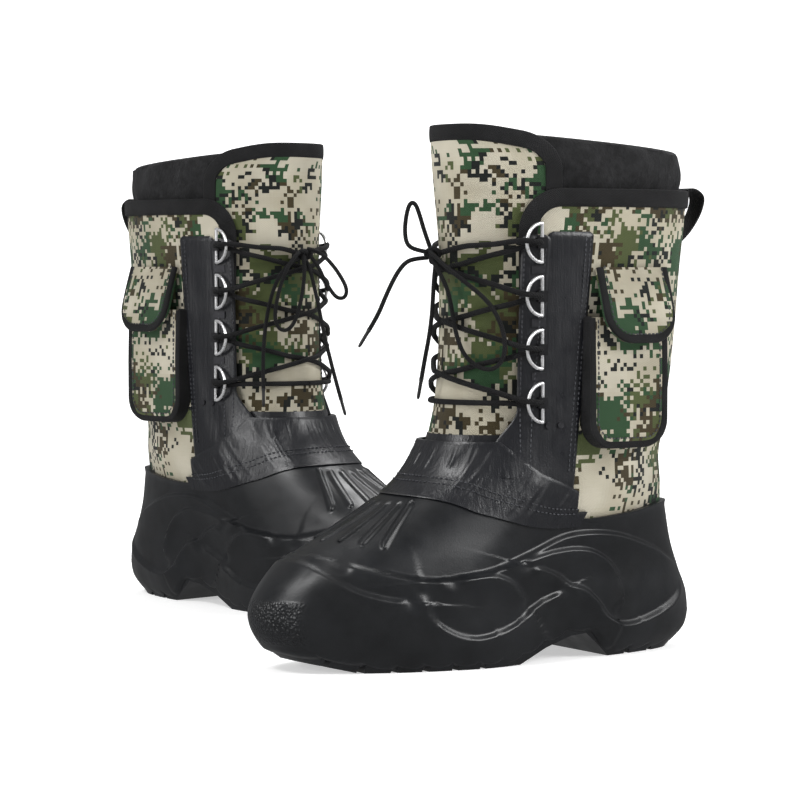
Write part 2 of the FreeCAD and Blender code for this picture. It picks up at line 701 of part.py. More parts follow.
def lace_strand(from_height, to_height):
    """Points from an outer ring, round the tongue's front, to an inner ring."""
    resting = size["lace_diameter"] / 2 + LACE_LIFT - tongue_inset()
    edge = size["leather"] + 2 * size["bond_gap"] + size["lace_diameter"] / 2 + LACE_LIFT
    ends = turn_at(from_height, size["ring_bar_x"])
    half = [(0.90, edge + 1.6), (0.80, edge - 0.1), (0.66, edge - 0.7), (0.49, resting + 0.7), (0.30, resting + 0.2),
            (0.11, resting)]
    points = []
    for share, out in half + [(-share, out) for share, out in reversed(half)]:
        height = from_height + (to_height - from_height) * (1 - share) / 2
        points.append(lace_point(height, share * ends, out))
    return points


def knot_centre(side):
    """The knot stands on the tongue's front, level with the top rings."""
    height = size["collar_height"] - 40.0
    front = lace_point(height, 0.0, 0.0).x
    return Vector(front - tongue_inset() + size["knot_radius"] + 1.8, KNOT_OFFSET[side], height)


KNOT_OFFSET = {"left": -5.0, "right": 6.0}


def make_lace(side):
    """Criss-cross lacing through the rings, with its knot, as one solid."""
    tubes = [cord_tube(lace_strand(ring_height(3), ring_height(3)), size["lace_diameter"])]
    for number in range(RINGS_PER_SIDE - 1):
        upper = ring_height(number) - 1.0
        lower = ring_height(number + 1) + 1.0
        tubes.append(cord_tube(lace_strand(upper, lower), size["lace_diameter"]))
        tubes.append(cord_tube(lace_strand(lower, upper), size["lace_diameter"]))
    centre = knot_centre(side)
    top = ring_height(0)
    for sign in (1, -1):
        points = [Vector(point.x, sign * point.y, point.z) for point in lace_strand(top, top - 10.0)[:6]]
        tubes.append(cord_tube(points + [centre], size["lace_diameter"]))
    knot = Part.makeSphere(size["knot_radius"], centre)
    return tubes[0].multiFuse(tubes[1:] + [knot])


# Routes of the free laces, in the boot frame at the drawn size; each starts at the knot.
ROUTES = {
    "left": {
        "bow_loop_a": [(167.1, -6.8, 258.0), (170.3, -8.5, 268.0), (173.0, -10.0, 279.0), (175.4, -11.4, 286.2),
                       (178.3, -13.0, 286.0), (180.2, -14.0, 279.0), (181.2, -14.5, 268.5), (180.2, -13.6, 260.0),
                       (175.5, -10.6, 256.6), (168.8, -7.2, 255.4)],
        "bow_loop_b": [(168.4, -2.6, 251.2), (169.0, 4.5, 245.5), (166.0, 13.0, 232.5), (164.5, 16.0, 217.5),
                       (163.0, 18.5, 202.5), (160.0, 23.5, 190.5), (154.5, 31.5, 183.5), (148.0, 38.5, 182.5),
                       (143.8, 43.0, 189.0), (143.0, 44.0, 200.5), (145.5, 41.0, 213.5), (150.5, 35.0, 225.5),
                       (160.5, 26.5, 237.0), (169.0, 15.0, 247.5), (168.6, -1.7, 255.4)],
        "lace_end_a": [(168.4, -7.4, 251.9), (175.2, -9.2, 251.4), (181.4, -11.6, 249.6), (186.2, -13.6, 243.6),
                       (190.4, -15.6, 235.0), (194.2, -17.4, 225.5), (197.8, -19.4, 215.5), (202.4, -22.0, 206.8)],
        "lace_end_b": [(164.6, -4.2, 248.7), (167.3, -1.8, 239.5), (168.5, -0.8, 228.5), (169.4, -0.9, 215.0),
                       (171.0, -2.0, 201.0), (173.3, -3.3, 187.5), (174.9, -4.4, 176.0)],
    },
    "right": {
        "bow_loop_a": [(167.8, 4.4, 258.9), (175.2, 0.8, 257.5), (181.7, -4.9, 249.5), (187.0, -10.0, 239.5),
                       (190.4, -13.4, 230.0), (189.4, -12.4, 223.6), (185.2, -8.4, 223.2), (181.4, -5.0, 229.5),
                       (178.0, -2.0, 237.5), (174.8, 0.4, 246.5), (169.1, 3.3, 254.3)],
        "bow_loop_b": [(166.4, 10.8, 256.4), (168.6, 17.5, 254.0), (168.0, 24.0, 246.0), (165.0, 28.0, 234.0),
                       (162.6, 30.4, 220.5), (161.4, 31.0, 208.5), (163.2, 28.2, 201.0), (167.2, 23.2, 200.2),
                       (170.2, 18.7, 207.2), (171.6, 15.4, 218.5), (172.4, 13.0, 231.0), (172.0, 11.2, 243.0),
                       (168.8, 8.8, 253.2)],
        "lace_end_a": [(167.9, 5.9, 250.9), (172.6, 6.0, 243.2), (175.8, 5.6, 232.5), (178.2, 4.2, 220.5),
                       (180.0, 2.4, 207.5), (182.0, 0.3, 193.5), (184.5, -2.1, 179.5), (187.0, -4.7, 165.5),
                       (189.8, -7.4, 151.5)],
        "lace_end_b": [(165.2, 11.3, 252.2), (163.5, 18.0, 248.5), (160.5, 24.5, 240.5), (157.5, 28.5, 229.5),
                       (155.2, 31.2, 216.0), (153.8, 33.0, 202.0), (153.4, 34.4, 187.5), (154.2, 35.6, 172.5),
                       (156.0, 37.0, 158.5)],
    },
}
KNOT_DRAWN = {"left": Vector(164.0, -5.0, 254.0), "right": Vector(164.0, 6.0, 254.0)}


def route_points(side, name):
    """A route's points, carried along by the knot."""
    shift = knot_centre(side) - KNOT_DRAWN[side]
    return [Vector(*point) + shift for point in ROUTES[side][name]]


def make_aglets(side):
    """Plain tips, in line with the ends of both free laces."""
    tips = []
    for name in ("lace_end_a", "lace_end_b"):
        before, end = route_points(side, name)[-2:]
        heading = end - before
        heading.normalize()
        tips.append(Part.makeCylinder(size["aglet_radius"], size["aglet_length"], end + heading * 0.05, heading))
    return Part.makeCompound(tips)


# ---------------------------------------------------------------- one boot, in its own frame
clip_body = make_clip_body()
tab_body = make_pull_tab_body()
rivet_shape = make_rivet()
ring_shape = make_ring()
doc.recompute()


def make_clips():
    """One clip at the middle of every ring's bar, on both sides of the boot."""
    clips = []
    for number in range(RINGS_PER_SIDE):
        seat = ring_frame(number)
        clips.append(placed(clip_body.Shape, seat))
        clips.append(mirrored(placed(clip_body.Shape, seat)))
    return Part.makeCompound(clips)


def make_rivets():
    """Small rivets in a row at the foot of each eyestay."""
    rivets = []
    for number in range(3):
        height = ring_height(RINGS_PER_SIDE - 1) - 14.0
        seat = side_frame(size["ring_bar_x"] - 12.0 + number * size["rivet_pitch"], height,
                          size["leather"] + 2 * size["bond_gap"])
        upright = FreeCAD.Placement(Vector(0, 0, 0), FreeCAD.Rotation(Vector(1, 0, 0), -90))
        rivet = placed(rivet_shape.Shape, seat.multiply(upright))
        rivets += [rivet, mirrored(rivet)]
    for number in range(RINGS_PER_SIDE - 1):
        height = (ring_height(number) + ring_height(number + 1)) / 2
        seat = side_frame(size["ring_bar_x"] + 2.0, height, size["leather"] + 2 * size["bond_gap"])
        plate = Part.makeBox(size["plate_length"], size["plate_thickness"], size["plate_height"],
                             Vector(-size["plate_length"] / 2, 0, -size["plate_height"] / 2))
        plate = placed(plate, seat)
        rivets += [plate, mirrored(plate)]
    return Part.makeCompound(rivets)


def make_pull_tab():
    """The loop, sewn on behind the back seam just under the collar's edge."""
    height = size["collar_height"] - size["tab_drop"]
    rear = level_cut(height)[1]
    low_rear = level_cut(height - size["tab_height"])[1]
    seat = FreeCAD.Placement(Vector(min(rear, low_rear) - size["bond_gap"], 0, height), FreeCAD.Rotation())
    return placed(tab_body.Shape, seat).cut(form(-size["bond_gap"]))


def boot_parts():
    """Every piece that both boots share but for their laces, by name, in the boot frame."""
    parts = {
        "outsole": make_outsole(),
        "foot_shell": make_foot_shell(),
        "footbed": make_footbed(),
        "liner": make_liner(),
        "outer_quarter": make_quarter(True),
        "inner_quarter": make_quarter(False),
        "collar_binding": make_collar_binding(),
        "tongue": make_tongue(),
        "tongue_binding": make_tongue_binding(),
        "vamp": make_vamp(),
        "eyestays": Part.makeCompound([make_eyestay(True), make_eyestay(False)]),
        "ring_clips": make_clips(),
        "rivets": make_rivets(),
        "pull_tab": make_pull_tab(),
        "pocket": make_pocket(),
        "pocket_flap": make_flap(),
    }
    for number in range(RINGS_PER_SIDE):
        outer = placed(ring_shape.Shape, ring_frame(number, size["ring_lift"]))
        parts[f"outer_ring_{number + 1}"] = outer
        parts[f"inner_ring_{number + 1}"] = mirrored(outer)
    return parts


def lace_parts(side):
    """The laces of one boot: each is tied in its own way."""
    parts = {"lace": make_lace(side), "aglets": make_aglets(side)}
    for name in ROUTES[side]:
        parts[name] = cord_tube(route_points(side, name), size["lace_diameter"], f"{side} {name}")
    return parts


CORDS = ("lace_end_a", "lace_end_b", "bow_loop_a", "bow_loop_b", "aglets")


def pair_placements(left, right):
    """Stand both boots on the ground about the pair's own box, the free laces left out."""
    spread, stagger = size["pair_spread"], size["pair_stagger"]
    seats = {"left": FreeCAD.Placement(Vector(spread / 2, -stagger / 2, 0),
                                       FreeCAD.Rotation(Vector(0, 0, 1), size["left_yaw"])),
             "right": FreeCAD.Placement(Vector(-spread / 2, stagger / 2, 0),
                                        FreeCAD.Rotation(Vector(0, 0, 1), size["right_yaw"]))}
    box = FreeCAD.BoundBox()
    for side, parts in (("left", left), ("right", right)):
        for name, shape in parts.items():
            if name not in CORDS:
                box.add(placed(shape, seats[side]).optimalBoundingBox(False, False))
    shift = Vector(-box.Center.x, -box.Center.y, 0)
    for seat in seats.values():
        seat.Base = seat.Base + shift
    return seats


shared = boot_parts()
left_parts = {**shared, **lace_parts("left")}
right_parts = {name: mirrored(shape) for name, shape in {**shared, **lace_parts("right")}.items()}
placements = pair_placements(left_parts, right_parts)
nodes = []
for side, parts in (("left", left_parts), ("right", right_parts)):
    for name, shape in parts.items():
        node = doc.addObject("Part::Feature", f"{side}_{name}")
        node.Label = f"{side}_{name}"
        node.Shape = shape
        node.Placement = placements[side].multiply(shape.Placement)
        nodes.append(node)
doc.recompute()

for item in doc.Objects:
    if "Invalid" in item.State or "Error" in item.State:
        raise RuntimeError(f"{item.Label} failed to recompute")
for node in nodes:
    if node.Shape.isNull() or not node.Shape.isValid():
        raise RuntimeError(f"{node.Label} has no valid shape")

os.makedirs("parts", exist_ok=True)
for node in nodes:
    node.Shape.exportStep(os.path.join("parts", node.Label + ".step"))

for side in ("left", "right"):
    seat = placements[side]
    print(side, "boot stands at", tuple(round(value, 3) for value in seat.Base))
    for number in range(RINGS_PER_SIDE):
        for face, sign in (("outer", 1), ("inner", -1)):
            local = ring_frame(number).Base
            flip = sign if side == "left" else -sign
            at = seat.multVec(Vector(local.x, flip * local.y, local.z))
            print(f"hinge {side}_{face}_ring_{number + 1}", tuple(round(value / 1000, 6) for value in at))
    flip = 1 if side == "left" else -1
    local = pocket_frame()
    outward = local.Rotation.multVec(Vector(0, 1, 0))
    at = seat.multVec(Vector(local.Base.x, flip * local.Base.y, local.Base.z))
    along = seat.Rotation.multVec(Vector(outward.x, flip * outward.y, 0))
    print(f"pocket {side}", tuple(round(value / 1000, 6) for value in at),
          "outward", tuple(round(value, 6) for value in along)[:2])
    local = flap_hinge()
    axis = local.Rotation.multVec(Vector(1, 0, 0))
    at = seat.multVec(Vector(local.Base.x, flip * local.Base.y, local.Base.z))
    along = seat.Rotation.multVec(Vector(axis.x, flip * axis.y, 0))
    print(f"hinge {side}_pocket_flap", tuple(round(value / 1000, 6) for value in at),
          "axis", tuple(round(value, 6) for value in along))
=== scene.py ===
"""Looks for a pair of insulated hunting boots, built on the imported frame.

Everything is drawn in a boot frame in millimetres: +X forward from the heel, +Y to the outer side,
+Z up. world() turns and places it, mirrored for the right boot, in metres in the frame's own axes.
"""
import bpy
import math
import numpy as np
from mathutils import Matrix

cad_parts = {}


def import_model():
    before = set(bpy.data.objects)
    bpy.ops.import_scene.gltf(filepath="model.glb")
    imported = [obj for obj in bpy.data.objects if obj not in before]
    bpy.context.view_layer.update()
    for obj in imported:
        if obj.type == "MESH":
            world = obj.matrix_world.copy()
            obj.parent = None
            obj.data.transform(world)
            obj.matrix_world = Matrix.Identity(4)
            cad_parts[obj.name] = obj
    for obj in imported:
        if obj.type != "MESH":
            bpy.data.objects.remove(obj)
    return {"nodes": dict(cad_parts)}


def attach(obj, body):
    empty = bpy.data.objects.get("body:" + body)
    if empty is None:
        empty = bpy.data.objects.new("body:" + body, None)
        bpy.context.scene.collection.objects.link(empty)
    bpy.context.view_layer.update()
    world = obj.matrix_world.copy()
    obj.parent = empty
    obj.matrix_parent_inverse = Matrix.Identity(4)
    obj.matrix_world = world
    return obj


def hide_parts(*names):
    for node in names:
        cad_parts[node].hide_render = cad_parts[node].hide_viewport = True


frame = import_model()

bl_info = {"name": "Hunting boots", "version": (1, 0, 0), "blender": (4, 5, 0),
           "location": "3D View > Sidebar > Boots", "category": "Object",
           "description": "Builds the looks of a pair of insulated hunting boots"}

SIDES = ("left", "right")
BODY = "boots"
MM = 0.001
SEATS = {"left": (173.136, -98.015, 209.8), "right": (-175.764, 237.385, -44.1)}
MIRROR = {"left": 1.0, "right": -1.0}

# ---------------------------------------------------------------- the boots' form
# height, rear x, front x, half width at heel, waist, ball outer, ball inner
STATIONS = np.array([
    (0.0, -3.0, 262.0, 35.0, 40.0, 54.0, 49.0), (14.0, -18.0, 282.0, 38.5, 42.0, 57.0, 52.0),
    (34.0, -19.0, 292.0, 39.5, 43.0, 57.0, 51.0), (52.0, -12.0, 284.0, 38.5, 43.0, 55.0, 49.0),
    (68.0, -6.0, 265.0, 38.0, 43.0, 53.0, 48.0), (84.0, -2.0, 234.0, 38.5, 44.0, 51.0, 47.0),
    (100.0, 1.0, 205.0, 39.0, 46.0, 50.0, 47.0), (122.0, 2.0, 178.0, 41.0, 48.0, 49.0, 48.0),
    (150.0, 0.0, 166.0, 44.0, 49.0, 49.0, 49.0), (190.0, -4.0, 160.5, 46.0, 50.0, 49.5, 49.5),
    (240.0, -9.0, 159.0, 48.0, 50.0, 50.0, 50.0), (290.0, -15.0, 159.0, 49.0, 50.0, 50.0, 50.0),
    (360.0, -16.0, 159.0, 49.0, 50.0, 50.0, 50.0)])
SQUARENESS = 2.3
COLLAR = 294.0
TONGUE_TOP = 334.0
RIM = np.array([(-60.0, 97.0), (0.0, 96.0), (50.0, 90.5), (95.0, 89.0), (140.0, 99.0), (195.0, 111.0),
                (330.0, 113.0)])
RING_HEIGHTS = (261.0, 228.0, 195.0, 162.0)
RING_X = 117.0
LACE = 2.8
CLOTH = 2.4                 # thickness of the shaft's cloth
CORNER, TONGUE_CORNER = 26.0, 24.0
TONGUE_SINK = 2.9           # the tongue lies this far inside the form
FRONT_EDGE, TONGUE_REAR = 128.0, 103.0


def smooth(share):
    """Ease from 0 to 1 with level ends."""
    share = np.clip(share, 0.0, 1.0)
    return share * share * (3.0 - 2.0 * share)


def level(height):
    """Columns of the level cut at each height: a cubic through the stations."""
    height = np.asarray(height, float)
    last = len(STATIONS) - 2
    index = np.clip(np.searchsorted(STATIONS[1:, 0], height), 0, last)
    low, high = STATIONS[index], STATIONS[index + 1]
    before = STATIONS[np.maximum(index - 1, 0)]
    after = STATIONS[np.minimum(index + 2, last + 1)]
    span = (high[..., 0] - low[..., 0])[..., None]
    share = ((height - low[..., 0])[..., None]) / span
    slope_low = (high - before) / (high[..., :1] - before[..., :1]) * span
    slope_high = (after - low) / (after[..., :1] - low[..., :1]) * span
    values = ((2 * share ** 3 - 3 * share ** 2 + 1) * low + (share ** 3 - 2 * share ** 2 + share) * slope_low
              + (3 * share ** 2 - 2 * share ** 3) * high + (share ** 3 - share ** 2) * slope_high)
    return np.moveaxis(values, -1, 0)[1:]


def form_point(turn, height, out=0.0):
    """Points on the form: a superellipse at each height, its width easing from heel to ball."""
    turn, height, out = np.broadcast_arrays(np.asarray(turn, float), height, out)
    rear, front, heel, waist, outer, inner = level(height)
    cosine, sine = np.cos(turn), np.sin(turn)
    radius = (np.abs(cosine) ** SQUARENESS + np.abs(sine) ** SQUARENESS) ** (-1 / SQUARENESS)
    along = (cosine * radius + 1) / 2
    ball = np.where(sine >= 0, outer, inner)
    width = np.where(along < 0.36, heel + (waist - heel) * smooth(along / 0.36),
                     waist + (ball - waist) * smooth((along - 0.36) / 0.30))
    return np.stack([(rear + front) / 2 + ((front - rear) / 2 + out) * cosine * radius,
                     (width + out) * sine * radius, height + 0.0 * turn], axis=-1)


def turn_at(x, height, out=0.0):
    """The turn, on the outer side, whose point lies at x."""
    rear, front = level(height)[:2]
    share = np.clip((x - (rear + front) / 2) / ((front - rear) / 2 + out), -1.0, 1.0)
    return np.arctan2((1 - np.abs(share) ** SQUARENESS) ** (1 / SQUARENESS), share)


def rim(x):
    """Height of the moulded foot's top line."""
    return catmull_value(RIM, x)


def catmull(points, count):
    """Evenly spaced points on a Catmull-Rom curve through the given ones."""
    points = np.asarray(points, float)
    padded = np.vstack([2 * points[0] - points[1], points, 2 * points[-1] - points[-2]])
    place = np.linspace(0, len(points) - 1, count)
    index = np.minimum(place.astype(int), len(points) - 2)
    t = (place - index)[:, None]
    a, b, c, d = (padded[index + k] for k in range(4))
    return 0.5 * (2 * b + (c - a) * t + (2 * a - 5 * b + 4 * c - d) * t ** 2 + (3 * b - a - 3 * c + d) * t ** 3)


def catmull_value(points, x):
    """Height of a Catmull-Rom curve at x."""
    curve = catmull(points, 160)
    return np.interp(x, curve[:, 0], curve[:, 1])


def world(side, points):
    """Boot-frame millimetres to the frame's metres."""
    x, y, yaw = SEATS[side]
    cosine, sine = math.cos(math.radians(yaw)), math.sin(math.radians(yaw))
    points = np.asarray(points, float)
    across = points[..., 1] * MIRROR[side]
    return np.stack([x + points[..., 0] * cosine - across * sine, y + points[..., 0] * sine + across * cosine,
                     points[..., 2]], axis=-1) * MM


# ---------------------------------------------------------------- meshes from whole arrays
class Mesh:
    """Gathers grids into one closed mesh, with a UV map in metres."""

    def __init__(self, side):
        self.side = side
        self.points, self.quads, self.uv, self.count = [], [], [], 0

    def add(self, points, quads, corner_uv):
        """Take in points, and quads that count from the first of them."""
        self.points.append(points)
        self.quads.append(quads + self.count)
        self.uv.append(corner_uv)
        self.count += len(points)

    def grid(self, grid, uv, around=False):
        """A grid of quads; around joins its last column to its first."""
        rows, columns = grid.shape[:2]
        wide = columns if around else columns - 1
        r, c = np.meshgrid(np.arange(rows - 1), np.arange(wide), indexing="ij")
        corners = [(r, c), (r, c + 1), (r + 1, c + 1), (r + 1, c)]
        quads = np.stack([(a * columns + b % columns).ravel() for a, b in corners], axis=1)
        corner_uv = np.stack([uv[a, np.minimum(b, uv.shape[1] - 1)].reshape(-1, 2) for a, b in corners], axis=1)
        self.add(grid.reshape(-1, 3), quads, corner_uv)

    def slab(self, front, back, uv):
        """Two matching grids joined along their edges: a closed sheet with thickness."""
        rows, columns = front.shape[:2]
        base = self.count
        self.grid(front, uv)
        r, c = np.meshgrid(np.arange(rows - 1), np.arange(columns - 1), indexing="ij")
        corners = [(r, c), (r + 1, c), (r + 1, c + 1), (r, c + 1)]
        quads = np.stack([(a * columns + b).ravel() for a, b in corners], axis=1)
        self.add(back.reshape(-1, 3), quads, np.stack([uv[a, b].reshape(-1, 2) for a, b in corners], axis=1))
        step = rows * columns
        top, bottom = np.arange(columns), np.arange(columns) + (rows - 1) * columns
        sides = [top[::-1], bottom, np.arange(rows) * columns, (np.arange(rows) * columns + columns - 1)[::-1]]
        flat = uv.reshape(-1, 2)
        for edge in sides:
            a, b = edge[:-1], edge[1:]
            self.quads.append(np.stack([b, a, a + step, b + step], axis=1) + base)
            self.uv.append(np.stack([flat[b], flat[a], flat[a], flat[b]], axis=1))

    def tube(self, rings, uv):
        """Rings of points joined along, with both ends closed on their centres."""
        start, end = rings[0].mean(axis=0), rings[-1].mean(axis=0)
        first = np.broadcast_to(start, rings[0].shape)
        last = np.broadcast_to(end, rings[0].shape)
        whole = np.concatenate([first[None], rings, last[None]])
        self.grid(whole, np.concatenate([uv[:1], uv, uv[-1:]]), around=True)

    def build(self, name, material, levels=0):
        """Make the object, its faces outward."""
        points = world(self.side, np.concatenate(self.points))
        quads = np.concatenate(self.quads)
        corner_uv = np.concatenate(self.uv)
        a, b, c, d = (points[quads[:, k]] for k in range(4))
        centre = points.mean(axis=0)
        volume = (np.einsum("ij,ij->i", a - centre, np.cross(b - centre, c - centre))
                  + np.einsum("ij,ij->i", a - centre, np.cross(c - centre, d - centre))).sum()
        if volume < 0:
            quads, corner_uv = quads[:, ::-1], corner_uv[:, ::-1]
        mesh = bpy.data.meshes.new(name)
        mesh.vertices.add(len(points))
        mesh.vertices.foreach_set("co", points.ravel())
        mesh.loops.add(quads.size)
        mesh.loops.foreach_set("vertex_index", np.ascontiguousarray(quads).ravel().astype(np.int32))
        mesh.polygons.add(len(quads))
        mesh.polygons.foreach_set("loop_start", np.arange(0, quads.size, 4, dtype=np.int32))
        mesh.update(calc_edges=True)
        layer = mesh.uv_layers.new(name="UVMap")
        layer.data.foreach_set("uv", np.ascontiguousarray(corner_uv * MM).ravel())
        mesh.polygons.foreach_set("use_smooth", np.ones(len(quads), bool))
        piece = bpy.data.objects.new(name, mesh)
        bpy.context.collection.objects.link(piece)
        weld = piece.modifiers.new("weld", "WELD")
        weld.merge_threshold = 1e-6
        mesh.materials.append(material)
        mesh.set_sharp_from_angle(angle=math.radians(50))
        if levels:
            extra = piece.modifiers.new("smooth", "SUBSURF")
            extra.levels = extra.render_levels = levels
        return piece


def settle(piece, body, *nodes):
    """The piece rides on a body and stands for the nodes."""
    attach(piece, body)
    if nodes:
        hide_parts(*nodes)
    return piece


def spread(grid):
    """UV in millimetres: along each row from its first column, and height."""
    steps = np.linalg.norm(np.diff(grid, axis=1), axis=-1)
    along = np.concatenate([np.zeros((len(grid), 1)), np.cumsum(steps, axis=1)], axis=1)
    return np.stack([along, grid[..., 2]], axis=-1)


def ripple(seed, a, b, count=7, low=0.02, high=0.12):
    """Soft unevenness from a few waves over two coordinates, about -1 to 1."""
    rng = np.random.default_rng(seed)
    total = 0.0 * (a + b)
    for _ in range(count):
        angle, pitch, phase = rng.uniform(0, 2 * math.pi), rng.uniform(low, high), rng.uniform(0, 2 * math.pi)
        total = total + np.sin(pitch * (a * math.cos(angle) + b * math.sin(angle)) + phase)
    return total / math.sqrt(count)


def spline_line(points):
    """Points along a NURBS spline of order 3 whose control points are given, and a curve object for it."""
    curve = bpy.data.curves.new("route", "CURVE")
    curve.dimensions = "3D"
    spline = curve.splines.new("NURBS")
    spline.points.add(len(points) - 1)
    for point, place in zip(spline.points, points):
        point.co = (*place, 1.0)
    spline.order_u = 3
    spline.use_endpoint_u = True
    spline.resolution_u = 12
    holder = bpy.data.objects.new("route", curve)
    line = bpy.data.meshes.new_from_object(holder)
    co = np.empty(len(line.vertices) * 3)
    line.vertices.foreach_get("co", co)
    bpy.data.objects.remove(holder)
    bpy.data.curves.remove(curve)
    bpy.data.meshes.remove(line)
    return co.reshape(-1, 3)


def section_frames(line):
    """Two unit vectors across the line at each point, carried along without twist."""
    tangent = np.gradient(line, axis=0)
    tangent /= np.linalg.norm(tangent, axis=1)[:, None]
    normal = np.cross(tangent[0], (0.3, 0.9, 0.2))
    first = []
    for t in tangent:
        normal = normal - t * np.dot(normal, t)
        normal = normal / np.linalg.norm(normal)
        first.append(normal)
    first = np.array(first)
    return first, np.cross(tangent, first)


def round_tube(mesh, line, radius, around=12):
    """A round tube along a line; its UV is the length and the share of a turn."""
    first, second = section_frames(line)
    angle = np.linspace(0, 2 * math.pi, around, endpoint=False)
    radius = np.broadcast_to(np.asarray(radius, float), (len(line),))
    rings = line[:, None] + radius[:, None, None] * (first[:, None] * np.cos(angle)[:, None]
                                                     + second[:, None] * np.sin(angle)[:, None])
    length = np.concatenate([[0], np.cumsum(np.linalg.norm(np.diff(line, axis=0), axis=1))])
    turn = np.arange(around + 1) / around * 10.0
    mesh.tube(rings, np.stack(np.broadcast_arrays(length[:, None], turn[None]), axis=-1))
    return length[-1]


def flat_sweep(mesh, path, outward, profile):
    """Sweep a closed profile (across, out) along a path; across is at right angles to both."""
    tangent = np.gradient(path, axis=0)
    tangent /= np.linalg.norm(tangent, axis=1)[:, None]
    outward = outward - tangent * np.einsum("ij,ij->i", outward, tangent)[:, None]
    outward = outward / np.linalg.norm(outward, axis=1)[:, None]
    across = np.cross(outward, tangent)
    profile = np.asarray(profile, float)
    rings = (path[:, None] + across[:, None] * profile[None, :, :1] + outward[:, None] * profile[None, :, 1:])
    length = np.concatenate([[0], np.cumsum(np.linalg.norm(np.diff(path, axis=0), axis=1))])
    wide = np.append(profile[:, 0], profile[0, 0])
    mesh.tube(rings, np.stack(np.broadcast_arrays(length[:, None], wide[None]), axis=-1))


def tape_profile(half, thick, steps=5):
    """Closed section of a flat tape with round edges."""
    angle = np.linspace(-math.pi / 2, math.pi / 2, steps)
    right = np.stack([half - thick / 2 + np.cos(angle) * thick / 2, np.sin(angle) * thick / 2], axis=1)
    return np.vstack([right, right * [-1, -1]])


def stitch_row(mesh, path, outward, pitch=3.2, length=2.3, width=0.45):
    """Short raised stitches, evenly spaced along a path."""
    distance = np.concatenate([[0], np.cumsum(np.linalg.norm(np.diff(path, axis=0), axis=1))])
    places = np.arange(pitch / 2, distance[-1], pitch)
    at = np.stack([np.interp(places, distance, path[:, k]) for k in range(3)], axis=1)
    ahead = np.stack([np.interp(places + 0.5, distance, path[:, k]) for k in range(3)], axis=1) - at
    up = np.stack([np.interp(places, distance, outward[:, k]) for k in range(3)], axis=1)
    ahead /= np.linalg.norm(ahead, axis=1)[:, None] + 1e-9
    up /= np.linalg.norm(up, axis=1)[:, None]
    side = np.cross(up, ahead)
    lat = np.linspace(-1, 1, 7)
    angle = np.linspace(0, 2 * math.pi, 6, endpoint=False)
    swell = np.sqrt(1 - np.abs(lat) ** 4)
    for centre, a, u, s in zip(at, ahead, up, side):
        rings = (centre + a * (lat * length / 2)[:, None, None]
                 + (s * np.cos(angle)[:, None] + u * np.sin(angle)[:, None]) * (width * swell)[:, None, None])
        mesh.grid(rings, np.zeros((7, 7, 2)), around=True)


# ---------------------------------------------------------------- materials
class Shader:
    """A small builder for one node material."""

    def __init__(self, name, shade, roughness):
        self.material = bpy.data.materials.new(name)
        self.material.use_nodes = True
        self.tree = self.material.node_tree
        self.surface = self.tree.nodes["Principled BSDF"]
        self.surface.inputs["Base Color"].default_value = (*shade, 1.0)
        self.surface.inputs["Roughness"].default_value = roughness

    def node(self, kind, inputs=None, **settings):
        """A new node with its settings, and its inputs linked or set."""
        node = self.tree.nodes.new(kind)
        for key, value in settings.items():
            setattr(node, key, value)
        for key, value in (inputs or {}).items():
            self.put(node.inputs[key], value)
        return node

    def put(self, socket, value):
        """Link a socket, or set a plain value."""
        if isinstance(value, bpy.types.NodeSocket):
            self.tree.links.new(value, socket)
        else:
            socket.default_value = value

    def math(self, operation, a, b=0.0):
        """A Math node's result."""
        return self.node("ShaderNodeMath", {0: a, 1: b}, operation=operation).outputs[0]

    def uv(self):
        """The piece's own UV map, in metres."""
        return self.node("ShaderNodeUVMap", uv_map="UVMap").outputs[0]

    def place(self):
        """Object coordinates, in metres."""
        return self.node("ShaderNodeTexCoord").outputs["Object"]

    def noise(self, vector, scale, detail=2.0, rough=0.5):
        """Noise about 0.5, its scale in patches a metre."""
        return self.node("ShaderNodeTexNoise", {"Vector": vector, "Scale": scale, "Detail": detail,
                                                "Roughness": rough}).outputs["Fac"]

    def span(self, value, low, high, to_low, to_high):
        """Remap a value, clamped."""
        return self.node("ShaderNodeMapRange", {"Value": value, "From Min": low, "From Max": high,
                                                "To Min": to_low, "To Max": to_high}).outputs[0]

    def mix(self, share, a, b):
        """A colour between a and b."""
        node = self.node("ShaderNodeMix", data_type="RGBA")
        self.put(node.inputs["Factor"], share)
        self.put(node.inputs[6], a if isinstance(a, bpy.types.NodeSocket) else (*a, 1.0))
        self.put(node.inputs[7], b if isinstance(b, bpy.types.NodeSocket) else (*b, 1.0))
        return node.outputs[2]

    def waves(self, vector, along, across):
        """Woven relief: two crossing sets of threads, counts per metre."""
        parts = self.node("ShaderNodeSeparateXYZ", {0: vector}).outputs
        u = self.math("SINE", self.math("MULTIPLY", parts[0], along * 2 * math.pi))
        v = self.math("SINE", self.math("MULTIPLY", parts[1], across * 2 * math.pi))
        return self.math("MULTIPLY", u, v)

    def bump(self, height, depth, strength=1.0):
        """Add relief, depth in metres, to what is there."""
        node = self.node("ShaderNodeBump", {"Height": height, "Distance": depth, "Strength": strength})
        previous = self.surface.inputs["Normal"]
        if previous.links:
            self.tree.links.new(previous.links[0].from_socket, node.inputs["Normal"])
        self.tree.links.new(node.outputs[0], previous)

    def link(self, name, value):
        """Feed an input of the surface."""
        self.tree.links.new(value, self.surface.inputs[name])

    def sheen(self, weight, tint=(0.5, 0.5, 0.5)):
        """Fibre sheen."""
        self.surface.inputs["Sheen Weight"].default_value = weight
        self.surface.inputs["Sheen Tint"].default_value = (*tint, 1.0)


def sizes():
    """The settings that hold sizes."""
    return bpy.context.scene.boots_sizes


def colour(name):
    """A colour of the settings as plain numbers."""
    return tuple(getattr(bpy.context.scene.boots_colours, name))


